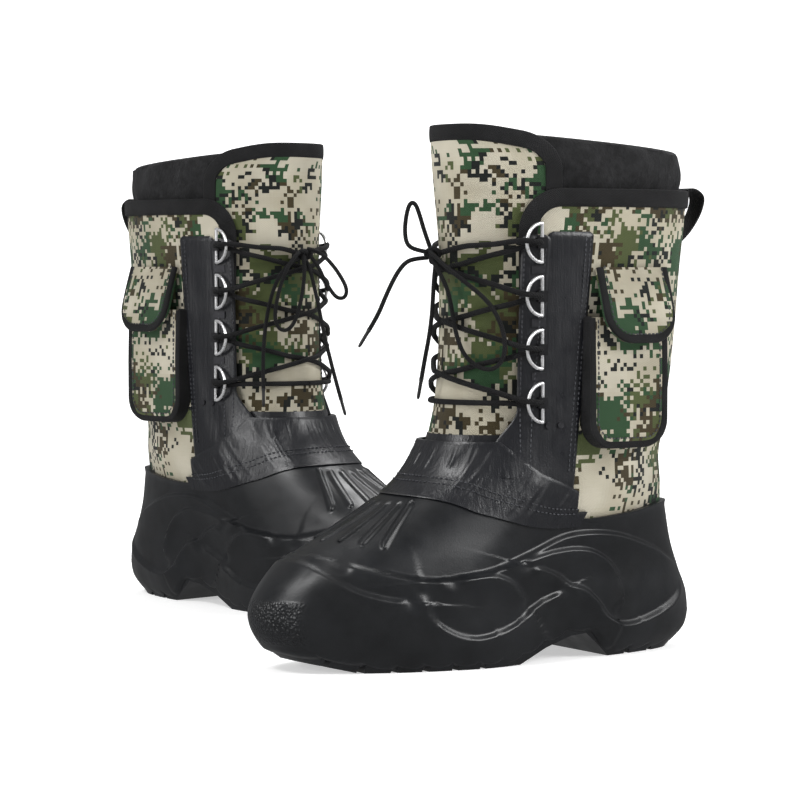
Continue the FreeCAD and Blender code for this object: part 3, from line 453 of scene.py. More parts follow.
# colour, how fine its patches are, how much shows, how ragged their edges are
PATCHES = (("green", 27.0, 0.53, 1.0), ("olive", 24.0, 0.585, 0.8), ("brown", 38.0, 0.635, 1.1),
           ("dark", 48.0, 0.665, 1.3))


def camouflage(name, shift):
    """Ribbed oxford cloth printed with small squares: each square takes the last colour whose noise,
    read once for the square and roughened by chance, is over its edge."""
    s = Shader(name, colour("sand"), 0.85)
    square = sizes().square
    moved = s.node("ShaderNodeVectorMath", {0: s.uv(), 1: shift}, operation="ADD").outputs[0]
    cell = s.node("ShaderNodeVectorMath", {0: moved, 1: (square, square, square)}, operation="SNAP").outputs[0]
    speck = s.node("ShaderNodeTexWhiteNoise", {"Vector": s.node(
        "ShaderNodeVectorMath", {0: cell, "Scale": 431.7}, operation="SCALE").outputs[0]},
        noise_dimensions="3D").outputs["Value"]
    loose = s.math("MULTIPLY", s.math("SUBTRACT", speck, 0.5), 0.21)
    dye = s.mix(s.span(s.noise(cell, 22.0), 0.42, 0.6, 0.0, 1.0), colour("sand"), colour("cream"))
    for number, (tint, scale, edge, grain) in enumerate(PATCHES):
        offset = s.node("ShaderNodeVectorMath", {0: cell, 1: (number * 1.37, number * 0.73, number * 2.1)},
                        operation="ADD").outputs[0]
        field = s.math("ADD", s.noise(offset, scale, 1.0), s.math("MULTIPLY", loose, grain))
        dye = s.mix(s.math("GREATER_THAN", field, edge), dye, colour(tint))
    worn = s.span(s.noise(s.place(), 30.0, 4.0), 0.3, 0.7, 0.86, 1.06)
    shaded = s.node("ShaderNodeVectorMath", {0: dye, "Scale": worn}, operation="SCALE").outputs[0]
    s.link("Base Color", shaded)
    s.surface.inputs["Specular IOR Level"].default_value = 0.2
    s.bump(s.waves(s.uv(), 900.0, 700.0), 0.00022, 0.7)
    s.bump(s.noise(s.place(), 160.0, 3.0), 0.0005, 0.35)
    s.sheen(0.15)
    return s.material


def moulded_rubber():
    """Satin foam rubber: faint mottling, fine pores and rubbed high spots."""
    s = Shader("moulded_rubber", colour("rubber"), 0.38)
    s.surface.inputs["Specular IOR Level"].default_value = 0.5
    place = s.place()
    mottled = s.noise(place, 24.0, 5.0, 0.6)
    s.link("Base Color", s.mix(s.span(mottled, 0.35, 0.7, 0.0, 1.0), (0.0045, 0.005, 0.006), colour("rubber")))
    s.link("Roughness", s.span(s.noise(place, 70.0, 4.0), 0.3, 0.7, 0.30, 0.44))
    s.bump(s.noise(place, 900.0, 2.0), 0.00012, 0.4)
    patch = s.node("ShaderNodeAttribute", attribute_name="stipple").outputs["Fac"]
    dots = s.node("ShaderNodeTexVoronoi", {"Vector": place, "Scale": 520.0}).outputs["Distance"]
    s.bump(s.math("MULTIPLY", dots, patch), 0.0012, 0.9)
    return s.material


def black_leather():
    """Coated leather: pebbled grain, fine creases and a soft gloss."""
    s = Shader("black_leather", colour("leather"), 0.36)
    place = s.place()
    s.link("Roughness", s.span(s.noise(place, 90.0, 4.0), 0.3, 0.7, 0.27, 0.45))
    grain = s.node("ShaderNodeTexVoronoi", {"Vector": place, "Scale": 1100.0}).outputs["Distance"]
    s.bump(grain, 0.00012, 0.5)
    stretched = s.node("ShaderNodeMapping", {"Vector": place, "Scale": (330.0, 330.0, 34.0)}).outputs[0]
    s.bump(s.noise(stretched, 1.0, 4.0, 0.62), 0.0009, 0.55)
    s.surface.inputs["Coat Weight"].default_value = 0.25
    s.surface.inputs["Coat Roughness"].default_value = 0.3
    return s.material


def woven(name, shade, along, across, depth, sheen):
    """Black tape or cord with a woven relief."""
    s = Shader(name, shade, 0.78)
    s.link("Base Color", s.mix(s.span(s.noise(s.place(), 60.0, 3.0), 0.35, 0.65, 0.0, 1.0), shade,
                               tuple(1.7 * part for part in shade)))
    s.bump(s.waves(s.uv(), along, across), depth, 0.8)
    s.bump(s.noise(s.place(), 700.0, 2.0), 0.0002, 0.4)
    s.surface.inputs["Specular IOR Level"].default_value = 0.25
    s.sheen(sheen * 0.3)
    return s.material


def fleece():
    """Black brushed fleece."""
    s = Shader("fleece", (0.009, 0.009, 0.010), 0.95)
    place = s.place()
    s.link("Base Color", s.mix(s.span(s.noise(place, 210.0, 3.0), 0.35, 0.7, 0.0, 1.0),
                               (0.0035, 0.0035, 0.004), (0.012, 0.012, 0.013)))
    s.bump(s.noise(place, 420.0, 4.0, 0.7), 0.0011, 0.9)
    s.sheen(0.12, (0.2, 0.2, 0.22))
    return s.material


def metal(name, shade, roughness, metallic):
    """Wire or plate with light rubbing."""
    s = Shader(name, shade, roughness)
    s.surface.inputs["Metallic"].default_value = metallic
    place = s.place()
    s.link("Roughness", s.span(s.noise(place, 260.0, 4.0), 0.3, 0.7, roughness * 0.7, roughness * 1.5))
    s.bump(s.noise(place, 900.0, 2.0), 0.00006, 0.3)
    return s.material


MATERIALS = {}


def make_materials():
    """Every material, by the name that the makers use."""
    MATERIALS.update({
        "rubber": moulded_rubber(), "leather": black_leather(), "fleece": fleece(),
        "quarter": camouflage("camouflage_shaft", (0.11, 0.03, 0.0)),
        "tongue": camouflage("camouflage_tongue", (0.53, 0.38, 0.0)),
        "pocket": camouflage("camouflage_pocket", (0.83, 0.71, 0.0)),
        "flap": camouflage("camouflage_flap", (0.29, 0.95, 0.0)),
        "binding": woven("binding_tape", colour("tape"), 1100.0, 600.0, 0.0003, 0.2),
        "webbing": woven("webbing", colour("tape"), 500.0, 420.0, 0.0005, 0.2),
        "lace": woven("lace_cord", colour("lace"), 620.0, 600.0, 0.0004, 0.15),
        "thread": woven("thread", (0.035, 0.036, 0.04), 900.0, 900.0, 0.0002, 0.1),
        "felt": woven("felt", (0.03, 0.03, 0.03), 800.0, 800.0, 0.0002, 0.2),
        "steel": metal("ring_steel", (0.93, 0.93, 0.94), 0.3, 0.85),
        "clip": metal("clip_metal", (0.02, 0.02, 0.022), 0.4, 0.6),
        "plate": metal("plate_metal", (0.05, 0.05, 0.055), 0.42, 0.8),
        "tip": metal("lace_tip", (0.012, 0.012, 0.013), 0.35, 0.0)})


# ---------------------------------------------------------------- the moulded foot
# each edge's course over the side, as (x, height)
STEP_LINE = [(-24, 50), (-14, 53), (4, 58), (26, 68), (60, 78), (96, 79), (127, 69), (158, 60), (196, 56),
             (229, 62), (250, 68)]
LEAF_LINE = [(136, 64), (112, 69), (90, 70), (74, 66), (60, 56), (53, 40), (55, 27)]
BAND_LINE = [(130, 62), (110, 56), (96, 48), (84, 44), (74, 36), (65, 25), (48, 20), (22, 25), (2, 34), (-12, 48)]
LOBE_TOP = [(186, 57), (165, 58), (151, 56), (139, 49), (129, 37)]
LOBE_LOW = [(204, 50), (201, 35), (189, 25), (174, 20), (158, 21), (141, 26), (122, 37), (100, 45)]
TOE_LINE = [(212, 44), (228, 46), (246, 52), (262, 64), (272, 74)]


def lip(x, z, line, fade):
    """An edge along a line, 1 high: an eased step at the line, and to its left an exponential fading
    away from it."""
    curve = catmull(line, 40)
    best = np.full(np.shape(x), 1e9)
    signed = np.zeros(np.shape(x))
    for (ax, az), (bx, bz) in zip(curve[:-1], curve[1:]):
        dx, dz = bx - ax, bz - az
        size = math.hypot(dx, dz)
        share = np.clip(((x - ax) * dx + (z - az) * dz) / size ** 2, 0, 1)
        distance = np.hypot(x - ax - share * dx, z - az - share * dz)
        near = distance < best
        best = np.where(near, distance, best)
        signed = np.where(near, np.where(dx * (z - az) - dz * (x - ax) >= 0, distance, -distance), signed)
    ends = smooth(np.minimum(np.hypot(x - curve[0, 0], z - curve[0, 1]),
                             np.hypot(x - curve[-1, 0], z - curve[-1, 1])) / 9.0)
    return ends * smooth((signed + 2.2) / 4.2) * np.exp(-np.maximum(signed - 1.0, 0) / fade)


# line, height, how far it fades
SIDE_EDGES = ((STEP_LINE[::-1], 3.6, 16.0), (LEAF_LINE, 3.4, 12.0), (BAND_LINE, 3.4, 10.0), (LOBE_TOP, 3.2, 14.0),
              (LOBE_LOW, 3.2, 8.0))
TOE_HEIGHT, TOE_FADE = 2.6, 14.0
RIBS = ((-27.0, 198.0, 222.0), (-18.0, 203.0, 232.0), (-9.0, 206.0, 240.0), (0.0, 208.0, 244.0),
        (9.0, 206.0, 240.0), (18.0, 203.0, 232.0), (27.0, 198.0, 222.0))       # y, rear x, front x
RIB_HEIGHT, RIB_FAN = 2.4, 0.018


def foot_relief(points):
    """Moulded relief: the sum of the sides' sweeping edges, the toe guard's edge and fanned ribs on
    the instep, each rib as high as an eased step of the distance from its middle line."""
    x, y, z = points[..., 0], points[..., 1], points[..., 2]
    upright = smooth((np.abs(y) - 14) / 16)
    total = 0.0
    for number, (line, height, fade) in enumerate(SIDE_EDGES):
        reach = np.maximum(upright, smooth((x - 230) / 20) * 0.6) if number == 0 else upright
        total = total + height * lip(x, z, line, fade) * reach
    total += TOE_HEIGHT * lip(x, z, TOE_LINE[::-1], TOE_FADE)
    for centre, start, reach in RIBS:
        beyond = np.maximum(x - reach, 0) + np.maximum(start - x, 0)
        distance = np.hypot(beyond, y - centre * (1 + RIB_FAN * (x - 204)))
        total += RIB_HEIGHT * smooth((3.1 - distance) / 2.0) * smooth((z - 48) / 10)
    return total * sizes().relief + 0.25 * ripple(3, x, z + y)


ARCH = ([52, 59, 72, 80, 92, 112, 136, 146], [0, 1, 11, 16, 15.5, 9.5, 1, 0])
LUG_HEIGHT, LUG_PITCH, TOE_SPRING = 3.4, 19.0, 0.224


def sole_edge(x):
    """Height of the moulded foot's lower edge: lugs from the root of a sine, the arch and a straight
    toe spring."""
    arch = np.interp(x, *ARCH)
    lug = LUG_HEIGHT * (1 - np.abs(np.sin(x * math.pi / LUG_PITCH)) ** 0.5)
    return 0.7 + arch + TOE_SPRING * np.maximum(x - 238.0, 0.0) + lug


def make_foot(side):
    """The moulded foot: a closed wall whose outer face is the form pushed out by the relief, from the
    wavy lower edge to the top line, which is found by averaging it with the rim's height."""
    columns, rows = 420, 150
    turn = np.linspace(0, 2 * math.pi, columns, endpoint=False)[None]
    share = np.linspace(0, 1, rows)[:, None]
    top = np.full((1, columns), 95.0)
    for _ in range(12):
        top = 0.5 * top + 0.5 * rim(form_point(turn, top, 1.5)[..., 0])
    low = sole_edge(form_point(turn, np.full((1, columns), 12.0), 1.5)[..., 0])
    height = low + (top - low) * share
    base = form_point(turn, height, 1.5)
    upper = 0.9 * np.exp(-((top - height) / 2.2) ** 2)
    under = -2.2 * np.exp(-((height - low) / 1.6) ** 2)
    outer = form_point(turn, height, 1.8 + foot_relief(base) + upper + under)
    inner = form_point(turn, height[::-5], -3.0)
    mesh = Mesh(side)
    ring = np.concatenate([outer, inner, outer[:1]])
    mesh.grid(ring, np.zeros((len(ring), columns + 1, 2)), around=True)
    piece = mesh.build(f"{side}_moulded_foot", MATERIALS["rubber"])
    flat = ring.reshape(-1, 3)
    stipple = smooth((flat[:, 0] - 262) / 8) * smooth((46 - flat[:, 2]) / 5) * smooth((flat[:, 2] - 16) / 5)
    layer = piece.data.attributes.new("stipple", "FLOAT", "POINT")
    layer.data.foreach_set("value", stipple * smooth((34 - np.abs(flat[:, 1])) / 6))
    return settle(piece, BODY, f"{side}_foot_shell")


# ---------------------------------------------------------------- shaft panels
def panel(face, rear_turn, front_turn, heights, columns):
    """Turns and heights of a panel between two edges, rows from the bottom up."""
    share = np.linspace(0, 1, columns)[None]
    turn = (rear_turn[:, None] * (1 - share) + front_turn[:, None] * share) * face
    return turn, np.broadcast_to(heights[:, None], turn.shape)


def corner_front(height, front, radius, top):
    """Front edge of a panel with a round top corner."""
    rise = np.clip(height - (top - radius), 0, radius)
    return front - radius + np.sqrt(radius ** 2 - rise ** 2)


def shaft_sag(turn, height):
    """Soft creases in the shaft, mostly about the ankle."""
    low = smooth((185 - height) / 60)
    return 0.35 * ripple(11, height, 60 * turn) + low * 0.9 * np.sin(height / 7.0 + 1.6 * np.sin(2 * turn))


def make_quarters(side):
    """The shaft's two panels: the form from its back to a front edge with a round top corner, pushed
    out by soft creases."""
    pieces = []
    heights = np.linspace(82, COLLAR - 1.5, 130)
    for face, name in ((1, "outer"), (-1, "inner")):
        front = turn_at(corner_front(heights, FRONT_EDGE, CORNER, COLLAR), heights)
        turn, height = panel(face, np.full(130, math.pi), front, heights, 120)
        bulge = shaft_sag(turn, height) * smooth((COLLAR - height) / 12)
        outer = form_point(turn, height, bulge)
        mesh = Mesh(side)
        mesh.slab(outer, form_point(turn, height, bulge - CLOTH), spread(outer) * [face, 1])
        piece = mesh.build(f"{side}_{name}_panel", MATERIALS["quarter"])
        pieces.append(settle(piece, BODY, f"{side}_{name}_quarter"))
    return pieces


def edge_band(mesh, outline, top_turns, top_height, face, profile):
    """A binding tape along an outline (x, z, across x, across z) and then level round the top."""
    x, z, nx, nz = (column[:, None] for column in outline.T)
    across, out = profile[:, 0][None], profile[:, 1][None]
    level_z = z + across * nz
    turn = turn_at(x + across * nx, level_z)
    first = form_point(turn * face, level_z, out)
    second = form_point(-turn[::-1] * face, level_z[::-1], out)
    top = form_point(top_turns[:, None] + 0 * across, top_height - across + 0 * top_turns[:, None], out)
    rings = np.concatenate([first, top[1:-1], second])
    length = np.concatenate([[0], np.cumsum(np.linalg.norm(np.diff(rings[:, 0], axis=0), axis=1))])
    wide = np.append(profile[:, 0], profile[0, 0])
    mesh.tube(rings, np.stack(np.broadcast_arrays(length[:, None], wide[None]), axis=-1))


def band_profile(width, outer, inner, count=7):
    """Section of a folded binding: across the panel from its edge, and out of the form."""
    crown = np.linspace(0, math.pi, count)
    middle, half = (outer + inner) / 2, (outer - inner) / 2
    nose = np.stack([-1.0 * np.sin(crown) ** 0.8, middle - half * np.cos(crown)], axis=1)
    front = [(0.35 * width, outer + 0.25), (0.7 * width, outer + 0.2), (width - 0.6, outer), (width, outer - 0.8)]
    back = [(width, inner + 0.6), (0.5 * width, inner)]
    return np.array(back + list(map(tuple, nose)) + front)


def make_collar_binding(side):
    """The collar's tape: up the front edge, a quarter circle, level round the back and down again."""
    leg = np.linspace(232, 268, 16)[:-1]
    angle = np.linspace(0, math.pi / 2, 22)
    outline = np.vstack([np.stack([np.full(15, 129.0), leg, np.full(15, -1.0), np.zeros(15)], axis=1),
                         np.stack([103 + 26 * np.cos(angle), 268 + 26 * np.sin(angle),
                                   -np.cos(angle), -np.sin(angle)], axis=1)])
    start = float(turn_at(103.0, COLLAR))
    turns = -np.linspace(start, 2 * math.pi - start, 150)
    mesh = Mesh(side)
    edge_band(mesh, outline, turns, COLLAR, -1, band_profile(10.5, 1.3, -3.6))
    return [settle(mesh.build(f"{side}_collar_tape", MATERIALS["binding"]), BODY, f"{side}_collar_binding")]


LEAN = {"left": 6.0, "right": 4.0}       # how far forward each tongue's top leans


def lean(side, grid):
    """The tongue's top leans forward and its rear corners sink, both easing in with height."""
    moved = grid.copy()
    moved[..., 2] -= 6.0 * smooth((152 - grid[..., 0]) / 42) * smooth((grid[..., 2] - 285) / 45)
    moved[..., 0] += LEAN[side] * smooth((grid[..., 2] - 250) / 84) * smooth((grid[..., 0] - 100) / 60)
    return moved


def make_tongue(side):
    """The tongue's cloth and its leather foot: the form drawn in, with a bow across its front, and
    round top corners."""
    pieces = []
    for name, low, high, extra, material in (("tongue_cloth", 139.0, TONGUE_TOP - 1.5, 0.0, "tongue"),
                                             ("tongue_foot", 104.0, 142.0, 0.6, "leather")):
        heights = np.linspace(low, high, 110)
        rise = np.clip(heights - (TONGUE_TOP - TONGUE_CORNER), 0, TONGUE_CORNER)
        rear = turn_at(TONGUE_REAR + TONGUE_CORNER - np.sqrt(TONGUE_CORNER ** 2 - rise ** 2), heights)
        turn, height = panel(1, rear, -rear, heights, 120)
        crown = 0.5 * ripple(23, height, 50 * turn) + 1.3 * np.cos(turn) ** 2 * smooth((height - 235) / 60)
        outer = lean(side, form_point(turn, height, crown + extra - TONGUE_SINK))
        inner = lean(side, form_point(turn, height, -5.5 + crown))
        mesh = Mesh(side)
        mesh.slab(outer, inner, spread(outer))
        piece = mesh.build(f"{side}_{name}", MATERIALS[material])
        pieces.append(settle(piece, BODY, f"{side}_tongue"))
    return pieces


def make_tongue_binding(side):
    """The tongue's tape: up one edge, a quarter circle, level across the front and down again."""
    leg = np.linspace(262, 310, 18)[:-1]
    angle = np.linspace(math.pi, math.pi / 2, 22)
    outline = np.vstack([np.stack([np.full(17, 103.0), leg, np.full(17, 1.0), np.zeros(17)], axis=1),
                         np.stack([127 + 24 * np.cos(angle), 310 + 24 * np.sin(angle),
                                   -np.cos(angle), -np.sin(angle)], axis=1)])
    start = float(turn_at(127.0, TONGUE_TOP))
    mesh = Mesh(side)
    edge_band(mesh, outline, np.linspace(start, -start, 110), TONGUE_TOP, 1, band_profile(10.0, -1.2, -6.4))
    mesh.points = [lean(side, block) for block in mesh.points]
    return [settle(mesh.build(f"{side}_tongue_tape", MATERIALS["binding"]), BODY, f"{side}_tongue_binding")]


VAMP_CREST = ([82, 89, 102, 124, 142, 160], [93, 106, 111, 118, 127, 138])
CREASES = 46


def make_vamp(side):
    """Smooth band above the moulding, rising to the front: the form pushed out by a rolled top edge
    and by many narrow bell-shaped creases that fade at their ends."""
    columns, rows = 260, 46
    rear_turn = float(turn_at(82.0, 96.0))
    turn = np.linspace(rear_turn, -rear_turn, columns)[None]
    x = form_point(turn, 110.0)[..., 0]
    low = rim(x) - 5.0
    crest = np.interp(x, *VAMP_CREST)
    height = low + (crest - low) * np.linspace(0, 1, rows)[:, None]
    share = (height - low) / (crest - low)
    rng = np.random.default_rng(5)
    crease = np.zeros_like(height)
    for _ in range(CREASES):
        at, slant = rng.uniform(-rear_turn, rear_turn), rng.uniform(-0.003, 0.003)
        wide, deep = rng.uniform(0.012, 0.03), rng.uniform(0.2, 0.75)
        start = rng.uniform(0.0, 0.5)
        bell = np.exp(-((turn - at - slant * (height - low)) / wide) ** 2)
        crease += deep * bell * smooth((share - start) / 0.2) * smooth((1.0 - share) / 0.25)
    edge = smooth((crest - height) / 1.5)
    out = 2.9 + 0.3 * edge + 0.8 * crease
    mesh = Mesh(side)
    outer = form_point(turn, height, out)
    mesh.slab(outer, form_point(turn, height, -0.2), spread(outer))
    piece = settle(mesh.build(f"{side}_vamp_band", MATERIALS["leather"]), BODY, f"{side}_vamp")
    threads = Mesh(side)
    for lift in (3.5, 6.5):
        path = form_point(turn[0], rim(x[0]) + lift, 3.6)
        stitch_row(threads, path[6:-6], form_point(turn[0], rim(x[0]) + lift, 5.1)[6:-6] - path[6:-6])
    sewn = settle(threads.build(f"{side}_vamp_stitches", MATERIALS["thread"]), BODY)
    return [piece, sewn]


STAY_LEAN = 0.085           # the strips run forward on their way down
STAY_TOP = 268.0
# rear x, front x, bottom, top, corner, stand-off, shares of the lean, forward flare at the foot
STRIPS = ((81.0, 112.0, 104.0, 268.0, 3.0, 1.9, (1.0, 1.0), 0.0),
          (110.0, 128.0, 116.0, 266.0, 4.0, 2.7, (0.8, 0.4), 14.0))
STAY_SEAMS = ((83.5, 2.1, 1.0), (86.5, 2.2, 1.0), (113.0, 2.9, 1.0), (126.0, 2.8, 0.4))


def make_eyestays(side):
    """Two strips on each side: the form between two leaning edges, softly uneven, its rim rolled
    down by a falling exponential."""
    pieces = []
    threads = Mesh(side)
    for face, name in ((1, "outer"), (-1, "inner")):
        mesh = Mesh(side)
        for rear, front, low, top, radius, out, shares, flare in STRIPS:
            heights = np.linspace(low, top, 120)
            inset = radius - np.sqrt(radius ** 2 - np.clip(heights - (top - radius), 0, radius) ** 2)
            leaning = STAY_LEAN * (STAY_TOP - heights)
            flaring = flare * smooth((158 - heights) / 26)
            turn, height = panel(face, turn_at(rear + shares[0] * leaning + inset, heights),
                                 turn_at(front + shares[1] * leaning + flaring - inset, heights), heights, 26)
            share = np.linspace(0, 1, 26)[None]
            edge = np.minimum(np.minimum(share, 1 - share) * (front - rear), top - height)
            puff = out - 0.9 * np.exp(-edge / 0.8) + 0.5 * ripple(31, height, 300 * turn) * smooth(edge / 4)
            outer = form_point(turn, height, puff)
            mesh.slab(outer, form_point(turn, height, 0.1), spread(outer))
        pieces.append(mesh.build(f"{side}_{name}_stay", MATERIALS["leather"]))
        settle(pieces[-1], BODY, f"{side}_eyestays")
        heights = np.linspace(118, 264, 160)
        for x, out, follow in STAY_SEAMS:
            turn = turn_at(x + follow * STAY_LEAN * (STAY_TOP - heights), heights) * face
            path = form_point(turn, heights, out)
            stitch_row(threads, path, form_point(turn, heights, out + 2) - path)
    pieces.append(settle(threads.build(f"{side}_stay_stitches", MATERIALS["thread"]), BODY))
    return pieces


def make_liner(side):
    """Fleece lining with a padded cuff above the collar: a closed wall between two offsets of the
    form, joined over the top by half a circle, uneven only in the cuff."""
    columns = 240
    turn = np.linspace(0, 2 * math.pi, columns, endpoint=False)[None]
    x = form_point(turn, 300.0)[..., 0]
    top = 316.5 + 11.5 * (x + 10) / 170
    share = np.linspace(0, 1, 90)[:, None]
    height = 62 + (top - 62) * share
    cuff = smooth((height - COLLAR + 6) / 8)
    puff = cuff * (1.1 * ripple(41, 70 * turn, height, 9, 0.03, 0.25) + 1.6 * np.sin(math.pi * np.clip(
        (height - COLLAR) / (top - COLLAR), 0, 1)))
    outer = form_point(turn, height, -6.6 + puff)
    inner = form_point(turn, height, -12.2 - 0.3 * puff)
    angle = np.linspace(0, math.pi, 9)[1:-1][:, None]
    fold = form_point(turn, top + 2.8 * np.sin(angle), -9.4 + 2.8 * np.cos(angle))
    ring = np.concatenate([outer, fold, inner[::-1], outer[:1]])
    mesh = Mesh(side)
    mesh.grid(ring, np.zeros((len(ring), columns + 1, 2)), around=True)
    piece = settle(mesh.build(f"{side}_fleece_liner", MATERIALS["fleece"]), BODY, f"{side}_liner")
    return [piece]


def make_pull_loop(side):
    """Webbing loop, a flat section swept along a curve in the middle plane, and the back seam."""
    path_side = catmull([(-12.0, 262), (-14.0, 275), (-15.8, 288), (-19.0, 295.0), (-26.5, 296.0), (-32.5, 291),
                         (-30.0, 281), (-22.5, 270), (-14.0, 262)], 90)
    path = np.stack([path_side[:, 0], np.zeros(90), path_side[:, 1]], axis=1)
    tangent = np.gradient(path, axis=0)
    outward = np.stack([tangent[:, 2], np.zeros(90), -tangent[:, 0]], axis=1)
    mesh = Mesh(side)
    flat_sweep(mesh, path, outward, tape_profile(8.0, 1.8))
    loop = settle(mesh.build(f"{side}_webbing_loop", MATERIALS["webbing"]), BODY, f"{side}_pull_tab")
    heights = np.linspace(92, 284, 120)
    seam = form_point(math.pi, heights, 0.6)
    mesh = Mesh(side)
    flat_sweep(mesh, seam, np.tile((-1.0, 0.0, 0.0), (120, 1)), tape_profile(4.0, 1.6))
    return [loop, settle(mesh.build(f"{side}_back_seam", MATERIALS["binding"]), BODY)]


# ---------------------------------------------------------------- cargo pocket
def side_axes(x, height, stand_off):
    """Origin, forward and outward of a flat set of axes touching the outer side at x and a height."""
    turn = float(turn_at(x, height))
    point = form_point(turn, height)
    ahead = form_point(turn - 0.01, height) - form_point(turn + 0.01, height)
    forward = ahead / np.linalg.norm(ahead)
    outward = np.array([-forward[1], forward[0], 0.0])
    return point + outward * stand_off, forward, outward


def local(axes, points):
    """Points given as (forward, outward, up) from the axes' origin, in the boot frame."""
    origin, forward, outward = axes
    points = np.asarray(points, float)
    return (origin + points[..., :1] * forward + points[..., 1:2] * outward
            + points[..., 2:] * np.array([0.0, 0.0, 1.0]))


def lean_out(lift, z, angle):
    """Turn (lift, z) about the level line through the origin by an angle."""
    return lift * math.cos(angle) - z * math.sin(angle), lift * math.sin(angle) + z * math.cos(angle)


def pillow(axes, half, low, high, depth, corner, tilt=0.0, seed=7, thick=None):
    """A crowned panel with round lower corners: it stands off by depth(share of its height), less
    within EDGE_ROLL of its edge, where it falls along a quarter circle."""
    across = np.linspace(-1, 1, 90)[None]
    share = np.linspace(0, 1, 90)[:, None]
    z = low + (high - low) * share
    drop = np.clip(low + corner - z, 0, corner)
    reach = half - corner + np.sqrt(corner ** 2 - drop ** 2)
    x = across * reach
    edge = np.minimum(reach - np.abs(x), (z - low) + 0 * x)
    swell = np.sqrt(np.clip(1 - (1 - np.clip(edge / EDGE_ROLL, 0, 1)) ** 2, 0, 1))
    y = depth(share) * (0.25 + 0.75 * swell) + 0.4 * ripple(seed, x, z) * swell
    back = y - thick if thick else np.full_like(y, -2.5)
    grids = []
    for lift in (y, back):
        out, up = lean_out(lift, z, math.radians(tilt))
        grids.append(local(axes, np.stack([x, out, up + 0 * x], axis=-1)))
    return grids[0], grids[1], np.stack([x, z + 0 * x], axis=-1)


def u_path(half, low, high, corner, inset):
    """A U round the panel's sides and bottom, moved in by inset, as (x, z): straight, quarter
    circle, straight, quarter circle, straight."""
    half, low, corner = half - inset, low + inset, max(corner - inset, 1.0)
    angle = np.linspace(0, math.pi / 2, 16)
    left = np.stack([np.full(30, -half), np.linspace(high, low + corner, 30)], axis=1)
    turn_left = np.stack([-half + corner * (1 - np.cos(angle)), low + corner * (1 - np.sin(angle))], axis=1)[1:]
    bottom = np.stack([np.linspace(corner - half, half - corner, 24), np.full(24, low)], axis=1)[1:]
    turn_right = turn_left[::-1] * [-1, 1]
    right = left[::-1] * [-1, 1]
    return np.vstack([left, turn_left, bottom, turn_right[1:], right[1:]])


EDGE_ROLL = 5.0
POCKET_AT = (58.5, 215.0, 0.3)          # x, height and stand-off of the pocket's mouth line
POCKET_HALF, POCKET_LOW, POCKET_MOUTH, POCKET_CORNER = 30.5, -82.0, -0.5, 18.0
POCKET_BULGE = ([0.0, 0.08, 0.55, 1.0], [4.8 / 6.6, 6.4 / 6.6, 1.0, 5.8 / 6.6])
FLAP_AT = (53.0, 245.0, 1.95)
FLAP_HALF, FLAP_LOW, FLAP_TOP, FLAP_CORNER = 28.5, -48.0, 0.6, 20.0
FLAP_TILT = 14.5


def pocket_depth(share):
    """How far the pocket stands out, from its bottom to its mouth: straight between four values."""
    return np.interp(share, *POCKET_BULGE) * sizes().pocket_depth / MM


def make_pocket(side):
    """The pocket: a crowned front panel, a tape swept round its U, and a gusset whose rows step from
    the front's depth back to the shaft."""
    axes = side_axes(*POCKET_AT)
    mesh = Mesh(side)
    mesh.slab(*pillow(axes, POCKET_HALF - 0.4, POCKET_LOW + 0.4, POCKET_MOUTH + 0.2, pocket_depth, POCKET_CORNER))
    body = settle(mesh.build(f"{side}_pocket_cloth", MATERIALS["pocket"]), BODY, f"{side}_pocket")

    def on_front(inset, lift):
        """The U moved in by inset, lifted off the front."""
        line = u_path(POCKET_HALF, POCKET_LOW, POCKET_MOUTH, POCKET_CORNER, inset)
        depth = pocket_depth((line[:, 1] - POCKET_LOW) / -POCKET_LOW)
        return local(axes, np.stack([line[:, 0], depth + lift, line[:, 1]], axis=1))

    mesh = Mesh(side)
    path = on_front(2.3, -0.9)
    flat_sweep(mesh, path, np.tile(axes[2], (len(path), 1)), tape_profile(2.7, 2.2))
    rim_line = u_path(POCKET_HALF + 0.4, POCKET_LOW - 0.4, POCKET_MOUTH, POCKET_CORNER, 0.0)
    depth = pocket_depth(np.clip((rim_line[:, 1] - POCKET_LOW + 0.4) / -POCKET_LOW, 0, 1))
    walls = []
    for grow, fall in ((1.0, 0.0), (1.005, 0.35), (1.014, 0.75), (1.02, 1.0)):
        down = depth * (1 - fall) - 3.0 * fall
        walls.append(np.stack([rim_line[:, 0] * grow, down, rim_line[:, 1] - (grow - 1) * 12.0], axis=1))
    walls = np.array(walls).transpose(1, 0, 2)
    gusset = local(axes, walls)
    mesh.slab(gusset, local(axes, walls * [0.95, 1.0, 1.0] + [0.0, -0.2, 1.0]), gusset[..., 1:])
    trim = settle(mesh.build(f"{side}_pocket_tape", MATERIALS["binding"]), BODY, f"{side}_pocket")
    threads = Mesh(side)
    path = on_front(6.0, 0.45)
    stitch_row(threads, path, np.tile(axes[2], (len(path), 1)))
    sewn = settle(threads.build(f"{side}_pocket_stitches", MATERIALS["thread"]), BODY)
    return [body, trim, sewn]


def flap_crown(share):
    """The flap's stand-off: one arch of a sine over its height."""
    return 1.25 + 1.2 * np.sin(math.pi * share)


